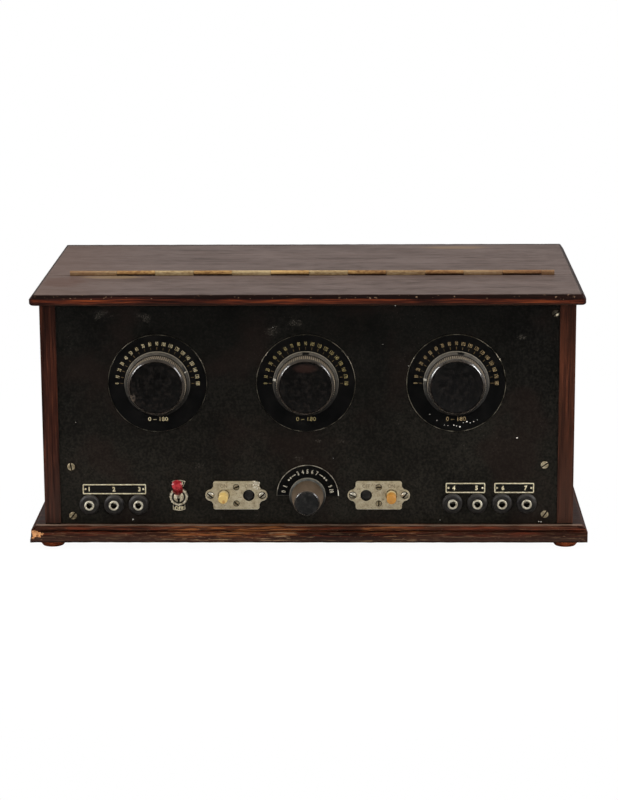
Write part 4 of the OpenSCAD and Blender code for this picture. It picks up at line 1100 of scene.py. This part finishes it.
label_cream = nickel_finish("label_border", (176, 162, 128), (210, 198, 164), (230, 220, 190), 0.3)
label_field = speckled("label_field", (14, 12, 10), (28, 25, 20), 3, 0.45, Specular_IOR_Level=0.4)
label_fill = filler("label_filler", 0.7, (224, 212, 176), (182, 168, 130))
label_h, label_t, label_border = 8.3, 0.6, 0.75
labels = (
    (-183.6, -132, 29.2, {"1": -178.4, "2": -158.2, "3": -137.4}),
    (111.6, 143.6, 30.2, {"4": 118.2, "5": 136.6}),
    (151, 183.2, 30.2, {"6": 158, "7": 176.4}),
)
bm = bmesh.new()
for start, end, z, texts in labels:
    plate = bar(end - start, label_h, label_t)
    upright = [e for e in plate.edges if abs(e.verts[0].co.z - e.verts[1].co.z) > 0.1 * mm]
    chamfer(plate, upright, 0.8 * mm, 3)
    top = max(plate.faces, key=lambda f: f.calc_center_median().z)
    bmesh.ops.inset_region(plate, faces=[top], thickness=label_border * mm, depth=0)
    bmesh.ops.inset_region(plate, faces=[top], thickness=0.12 * mm, depth=-0.22 * mm)
    top.material_index = 1
    add(bm, plate, on_panel((start + end) / 2, z, label_t / 2))
    for text, x in texts.items():
        add(bm, letters(text, 3.8, 0.95, 0.035), on_panel(x, z, 0.4), 2)
    for x in (start + 2.2, end - 2.2):
        add(bm, turned([(0, 0), (0.85, 0), (0.75, 0.25), (0.4, 0.42), (0, 0.45)], 16), on_panel(x, z, 0.38))
fit("label_plates_numbered", bm, [label_cream, label_field, label_fill], "label_metal", "label_plates")

# The toggle switch: a nickel ring nut cut with coarse teeth, a slotted dome inside it, and the lever with
# its glossy red cap, tilted up. The tag behind the ring carries ON and OFF on black.
toggle_x, toggle_z = middle_of("toggle_tag")[0], middle_of("toggle_body")[2]
toggle_shades = ((130, 116, 92), (196, 184, 156), (232, 222, 200), 0.5, 2, 0.4)
ring_nickel = nickel_finish("ring_nickel", *toggle_shades)
away = ring_nickel.away(toggle_x, toggle_z)
# Painted shade in the gap between the ring and the dome inside it.
ring_gap_shade = ring_nickel.step(away, 3.7 * mm, 4.4 * mm) * ring_nickel.step(away, 5.9 * mm, 5.3 * mm)
ring_nickel.coat(((22, 18, 14), ring_gap_shade * 0.95))
bm = copy_of("toggle_body")
ease(bm, 0.15 * mm, 2, 40)
fit("toggle_ring", bm, [ring_nickel], "nickel", "toggle_body", smooth=40)
lever = copy_of("toggle_lever")
toggle_nickel = nickel_finish("toggle_nickel", *toggle_shades)
fit("toggle_lever_polished", lever, [toggle_nickel], "nickel", "toggle_lever", body="toggle", smooth=50)

red = Finish("red_lacquer", Specular_IOR_Level=0.35, Coat_Roughness=0.08)
blush = red.noise(3)
# Painted shade: the cap is mixed to deep dark red low down, on its shaded lower side.
red.feed(
    Base_Color=red.mix(
        red.ramp(blush, (0.4, 0.6), (118, 14, 20), (152, 42, 46)), (96, 0, 4),
        red.step(red.z, toggle_z + 12 * mm, toggle_z + 9 * mm) * 0.92),
    Roughness=0.25 + blush * 0.2, Coat_Weight=red.step(red.up, -0.1, 0.5) * 0.5)
bm = copy_of("toggle_cap")
lean = math.radians(36)
lever_way = Vector((0, -math.cos(lean), math.sin(lean)))
pivot = Vector((toggle_x, panel_y, toggle_z))
for vert in bm.verts:
    along = (vert.co - pivot).dot(lever_way)
    off = vert.co - pivot - lever_way * along
    if off.length > 2.3 * mm and along < 15 * mm:
        vert.co += off.normalized() * 1.2 * mm
fit("toggle_cap_glossy", bm, [red], "red_lacquer", "toggle_cap", body="toggle", smooth=70)

tag_nickel = nickel_finish("tag_nickel", (130, 116, 92), (184, 172, 146), (220, 210, 188), 0.4, 2, 0.1)
shaded = tag_nickel.step(tag_nickel.away(toggle_x, toggle_z), 9 * mm, 8.5 * mm)
tag_nickel.coat(((26, 22, 17), shaded * 0.92))
tag_edge = 0.55 * mm
bm = copy_of("toggle_tag")
fronts = [f for f in bm.faces if f.normal.y < -0.9]
bmesh.ops.inset_region(bm, faces=fronts, thickness=tag_edge, depth=0)
bmesh.ops.inset_region(bm, faces=fronts, thickness=0.1 * mm, depth=-0.2 * mm)
for face in fronts:
    face.material_index = 1
for text, z in (("ON", 11), ("OFF", -9.9)):
    add(bm, letters(text, 2.9, 1.1), facing(toggle_x, toggle_z + z * mm, 0.62 * mm), 2)
fit("toggle_tag_enamelled", bm, [tag_nickel, label_field, label_fill], "nickel", "toggle_tag")

# The two push button switches: an eared nickel plate stamped over each button, slotted screws in it, and
# of each pair of buttons the ivory one out and the black one in.
plate_nickel = nickel_finish("plate_nickel", (146, 132, 104), (170, 157, 128), (182, 170, 144), 0.3, 3, 0.2)
burr = plate_nickel.patch(-0.0415, 0.0525, 9 * mm, 11 * mm, 0.8)
burr *= plate_nickel.step(plate_nickel.noise(1.3), 0.48, 0.6)
spots = plate_nickel.step(plate_nickel.noise(1.7, shift=(0.5, 0, 0)), 0.59, 0.66)
under_edge_highlight = plate_nickel.step(plate_nickel.up, -0.15, -0.5)
over_edge = plate_nickel.step(plate_nickel.up, 0.2, 0.6)
# Painted highlight on the downward-facing bevels; the burr at the broken corner is bare bright metal.
plate_nickel.coat(
    ((98, 80, 50), spots * 0.65), ((112, 98, 64), over_edge * 0.6),
    ((232, 224, 204), burr.most(under_edge_highlight * 0.9)))
stamp_ink = speckled("stamp_ink", (88, 74, 50), (122, 108, 80), 1.2, 0.6)
plate_t = 1.2
button_off, bore_r = 10.2, 5.15
for side, texts in {"left": ("ON", "OFF"), "right": ("OFF", "ON")}.items():
    node = "switch_plate_" + side
    x, _, z = middle_of(node)
    bm = copy_of(node)
    outline = [
        e for e in bm.edges
        if len(e.link_faces) == 2 and e.calc_face_angle(0) > 1
        and all(v.co.y < panel_y - 1.1 * mm for v in e.verts)
    ]
    chamfer(bm, outline, 0.55 * mm, 3)
    if side == "left":
        crosscut(bm, "x", closely(x, 12, 8))
        crosscut(bm, "z", closely(z, 5, 8))
        burr_x, burr_z, burr_y = x + 14 * mm, z + 6 * mm, panel_y - 0.5 * mm
        rub(bm, 2.1 * mm, 1.2 * mm, lambda p: p.x > burr_x and p.z > burr_z and p.y < burr_y)
    # Painted shade: the walls of the holes round the buttons take the near black paint.
    for face in bm.faces:
        middle = face.calc_center_median()
        near = math.hypot(abs(middle.x - x) - button_off * mm, middle.z - z)
        if near < bore_r * mm and abs(face.normal.y) < 0.9:
            face.material_index = 2
    for text, across in zip(texts, (-button_off, button_off)):
        add(bm, letters(text, 3.1, 0.85, 0, 0.03), facing(x + across * mm, z + 7.8 * mm, plate_t * mm), 1)
    fit(node + "_stamped", bm, [plate_nickel, stamp_ink, painted_shade_black], "switch_nickel", node, smooth=40)

screw_nickel = nickel_finish("screw_nickel", (128, 114, 90), (190, 178, 150), (236, 228, 208), 0.75, 1.5, 0.6)
# A painted highlight on the upward-facing part of each head, and a painted shade on its downward-facing part.
screw_nickel.coat(
    ((244, 238, 222), screw_nickel.step(screw_nickel.up, 0.1, 0.5) * 0.7),
    ((66, 54, 38), screw_nickel.step(screw_nickel.up, -0.05, -0.45) * 0.75))
dull_nickel = nickel_finish("dull_nickel", (84, 70, 48), (124, 110, 82), (160, 146, 116), 0.3, 1.5, 0.9)
left_at, right_at = -58.5, 57.3
ear_screws = ((left_at, -21, 0, -40), (left_at, 21, 0, 40), (right_at, -21, 0, -25), (right_at, 21, 0, 50))
centre_screws = (
    (left_at, 0, -6.8, -45), (left_at, 0, 6.8, 20), (right_at, 0, -6.8, 85), (right_at, 0, 6.8, 5))
bm = bmesh.new()
for group, sizes, index in ((ear_screws, (2.7, 2.2, 1.1), 0), (centre_screws, (2.2, 0.9, 1), 2)):
    for switch_at, across, upward, turn in group:
        head = slotted_head(*sizes)
        for face in head.faces:
            face.material_index = face.material_index or index
        drive(bm, head, -11, 0.05, on_panel(switch_at + across, 24.2 + upward, plate_t), turn)
fit("switch_screws_slotted", bm, [screw_nickel, painted_shade_black, dull_nickel], "nickel", "switch_screws")

ivory = Finish("ivory")
yellow = ivory.noise(2.5)
tip = ivory.step(panel_y - ivory.y, 6.2 * mm, 7.2 * mm)
pale = ivory.mix((180, 156, 108), (200, 180, 134), yellow)
deep = ivory.mix((190, 160, 92), (170, 116, 38), ivory.step(ivory.x, -0.01, 0.01))
button_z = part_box("button_ivory_left")[0].z + 4 * mm
core = ivory.patch(-0.0682, button_z - 0.5 * mm, 3 * mm, 4 * mm, 0.9)
core = core.most(ivory.patch(0.067, button_z, 2 * mm, 2.5 * mm, 0.9))
ivory.feed(
    Base_Color=ivory.over(pale, (deep, tip), ((148, 96, 32), core * tip * 0.7)), Roughness=0.3 + yellow * 0.2)


def softened(node, ending, finish, slot, width, segments=2, angle=40, body="cabinet", smooth=40):
    """Fits a copy of a CAD node whose arrises are eased, and adds the ending to its name."""
    bm = copy_of(node)
    ease(bm, width * mm, segments, angle)
    fit(node + ending, bm, [finish], slot, node, body=body, smooth=smooth)


for side in ("left", "right"):
    softened("button_ivory_" + side, "_turned", ivory, "ivory", 0.3, 3, 30, "ivory_" + side, 50)
    softened("button_black_" + side, "_turned", collar_black, "bakelite", 0.3, 3, 30, "black_" + side, 50)

# Behind the panel: the switch housings, the brass bushes of the shafts and the three variable condensers,
# whose aluminium vanes stand between two end plates of laminated board on four pillars.
housing_black = mottled("housing_black", 0.4, 0.25, (8, 4), (0.4, 0.6), (22, 19, 17), (38, 33, 29))
for node, width in (("switch_housings", 0.5), ("valve_holders", 0.4), ("terminal_strip", 0.5)):
    softened(node, "_moulded", housing_black, "bakelite", width, smooth=45)
dress(brass("bush_brass", (140, 116, 72), (176, 150, 98), (206, 184, 132)), "shaft_bushes")
laminate = mottled(
    "laminate", 0.3, 0.2, (0.7, 3, (1, 1, 0.3)), (0.38, 0.5, 0.62), (56, 30, 17), (78, 44, 26), (98, 60, 36),
    cloud=(9, 4), depth=0.02)
vane_metal = Finish("vane_aluminium")
oxide = vane_metal.noise(12, 4)
vane_metal.feed(
    Base_Color=vane_metal.ramp(oxide, (0.4, 0.6), (150, 152, 152), (196, 198, 200)),
    Metallic=0.9 - oxide * 0.3, Roughness=0.28 + vane_metal.noise(1.2, 3, (0.2, 1, 1)) * 0.25)
for side in dials:
    softened("condenser_frame_" + side, "_eased", laminate, "frame_board", 0.3)
    dress(vane_metal, "stator_" + side, "rotor_" + side)

# The tuning coils: tubes of lacquered board on round feet, close wound with green silk-covered wire. The
# coupling unit is wound in the same way, with a small coil that turns inside the large one.
former_board = mottled(
    "former_board", 0.35, 0.25, (0.8, 3, (1, 1, 0.4)), (0.38, 0.5, 0.62), (80, 46, 25), (110, 70, 41),
    (138, 94, 60), cloud=(6, 4), depth=0.03)
for node in ("coil_formers", "coupling_former", "coupling_rotor"):
    body = "coupling" if node == "coupling_rotor" else "cabinet"
    softened(node, "_eased", former_board, "former_board", 0.25, angle=50, body=body)
silk = mottled(
    "silk_wire", 0.55, 0.25, (0.35, 2), (0.36, 0.5, 0.64), (26, 58, 36), (44, 82, 52), (74, 108, 72),
    cloud=(15, 4), depth=0.02, Specular_IOR_Level=0.3, Sheen_Weight=0.4, Sheen_Roughness=0.4)
wire_pitch = 0.8


def wound(inner, outer, start, end):
    """A close winding: a band whose outside shows each turn of the wire."""
    turns = round((end - start) / wire_pitch)
    step = (end - start) / turns
    outside = [
        (outer - (1 - rise) * step * 0.4, start + (turn + along) * step)
        for turn in range(turns) for along, rise in ((0, 0), (0.18, 0.75), (0.5, 1), (0.82, 0.75))
    ]
    return turned([(inner, start)] + outside + [(outer - step * 0.4, end), (inner, end)], 48)


coil_y = middle_of("coil_windings")[1]
coil_r = 27
flange_top = panel_low.z + 4 * mm
bm = bmesh.new()
for x, z in dial_at.values():
    for start, end in ((9, 20), (26, 70)):
        add(bm, wound(coil_r - 0.1, coil_r + 1, start, end), Matrix.Translation((x, coil_y, flange_top)))
fit("coil_windings_silk", bm, [silk], "silk_wire", "coil_windings", smooth=80)

unit_y, unit_z = middle_of("coupling_winding")[1:]
bm = bmesh.new()
for side in (-1, 1):
    place = Matrix.Translation((couple_x + side * 14 * mm, unit_y, unit_z))
    add(bm, wound(21.9, 23.2, -8, 8), place @ Matrix.Rotation(math.pi / 2, 4, "Y"))
fit("coupling_winding_silk", bm, [silk], "silk_wire", "coupling_winding", smooth=80)

# The valves: blown bulbs with a silvery cap inside the top, cemented in moulded bases, with the grey
# electrodes on their glass stem.
marbling = (5, 4, (1, 1, 1), (0, 0, 0), 1.5)
base_brown = mottled("valve_base_brown", 0.25, 0.2, marbling, (0.4, 0.6), (24, 17, 14), (52, 34, 25))
softened("valve_bases", "_moulded", base_brown, "valve_base", 0.5, 3, smooth=45)
glass = Finish("bulb_glass", Transmission_Weight=0.92, IOR=1.47)
bulb_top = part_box("valve_bulbs")[1].z
ragged = glass.z + (glass.noise(7) - 0.5) * 0.01
silvered = glass.step(ragged, bulb_top - 17 * mm, bulb_top - 12 * mm)
glass.feed(
    Base_Color=glass.mix((226, 230, 228), (168, 170, 172), silvered),
    Metallic=silvered, Roughness=0.04 + silvered * 0.12)
dress(glass, "valve_bulbs")
anode_grey = nickel_finish("anode_nickel", (70, 70, 70), (104, 104, 104), (136, 136, 136), 0.7, 4)
dress(anode_grey, "valve_electrodes")

# The transformers, grid leaks and stiff wires: laminated iron cores with waxed paper round the winding,
# red lacquered rods in clips, and tinned copper wire bent square.
core_iron = mottled(
    "core_iron", 0.4, 0.2, (0.6, 1, (0.02, 1, 0.02)), (0.4, 0.6), (24, 25, 28), (52, 52, 55),
    cloud=(10, 4), share=0.5, depth=0.15)
softened("transformer_cores", "_eased", core_iron, "core_steel", 0.4)
waxed = mottled(
    "waxed_paper", 0.4, 0.2, (4, 5, (1, 1, 0.3)), (0.4, 0.6), (92, 52, 26), (140, 92, 54), depth=0.1,
    Specular_IOR_Level=0.4)
softened("transformer_windings", "_waxed", waxed, "paper_winding", 0.8, 3, 50, smooth=50)
dress(mottled("leak_lacquer", 0.3, 0.2, (4, 4), (0.4, 0.6), (96, 34, 20), (140, 58, 34)), "grid_leaks")
dress(nickel_finish("tinned_copper", (150, 120, 92), (184, 160, 132), (204, 190, 168), 0.9, 6), "bus_wires")
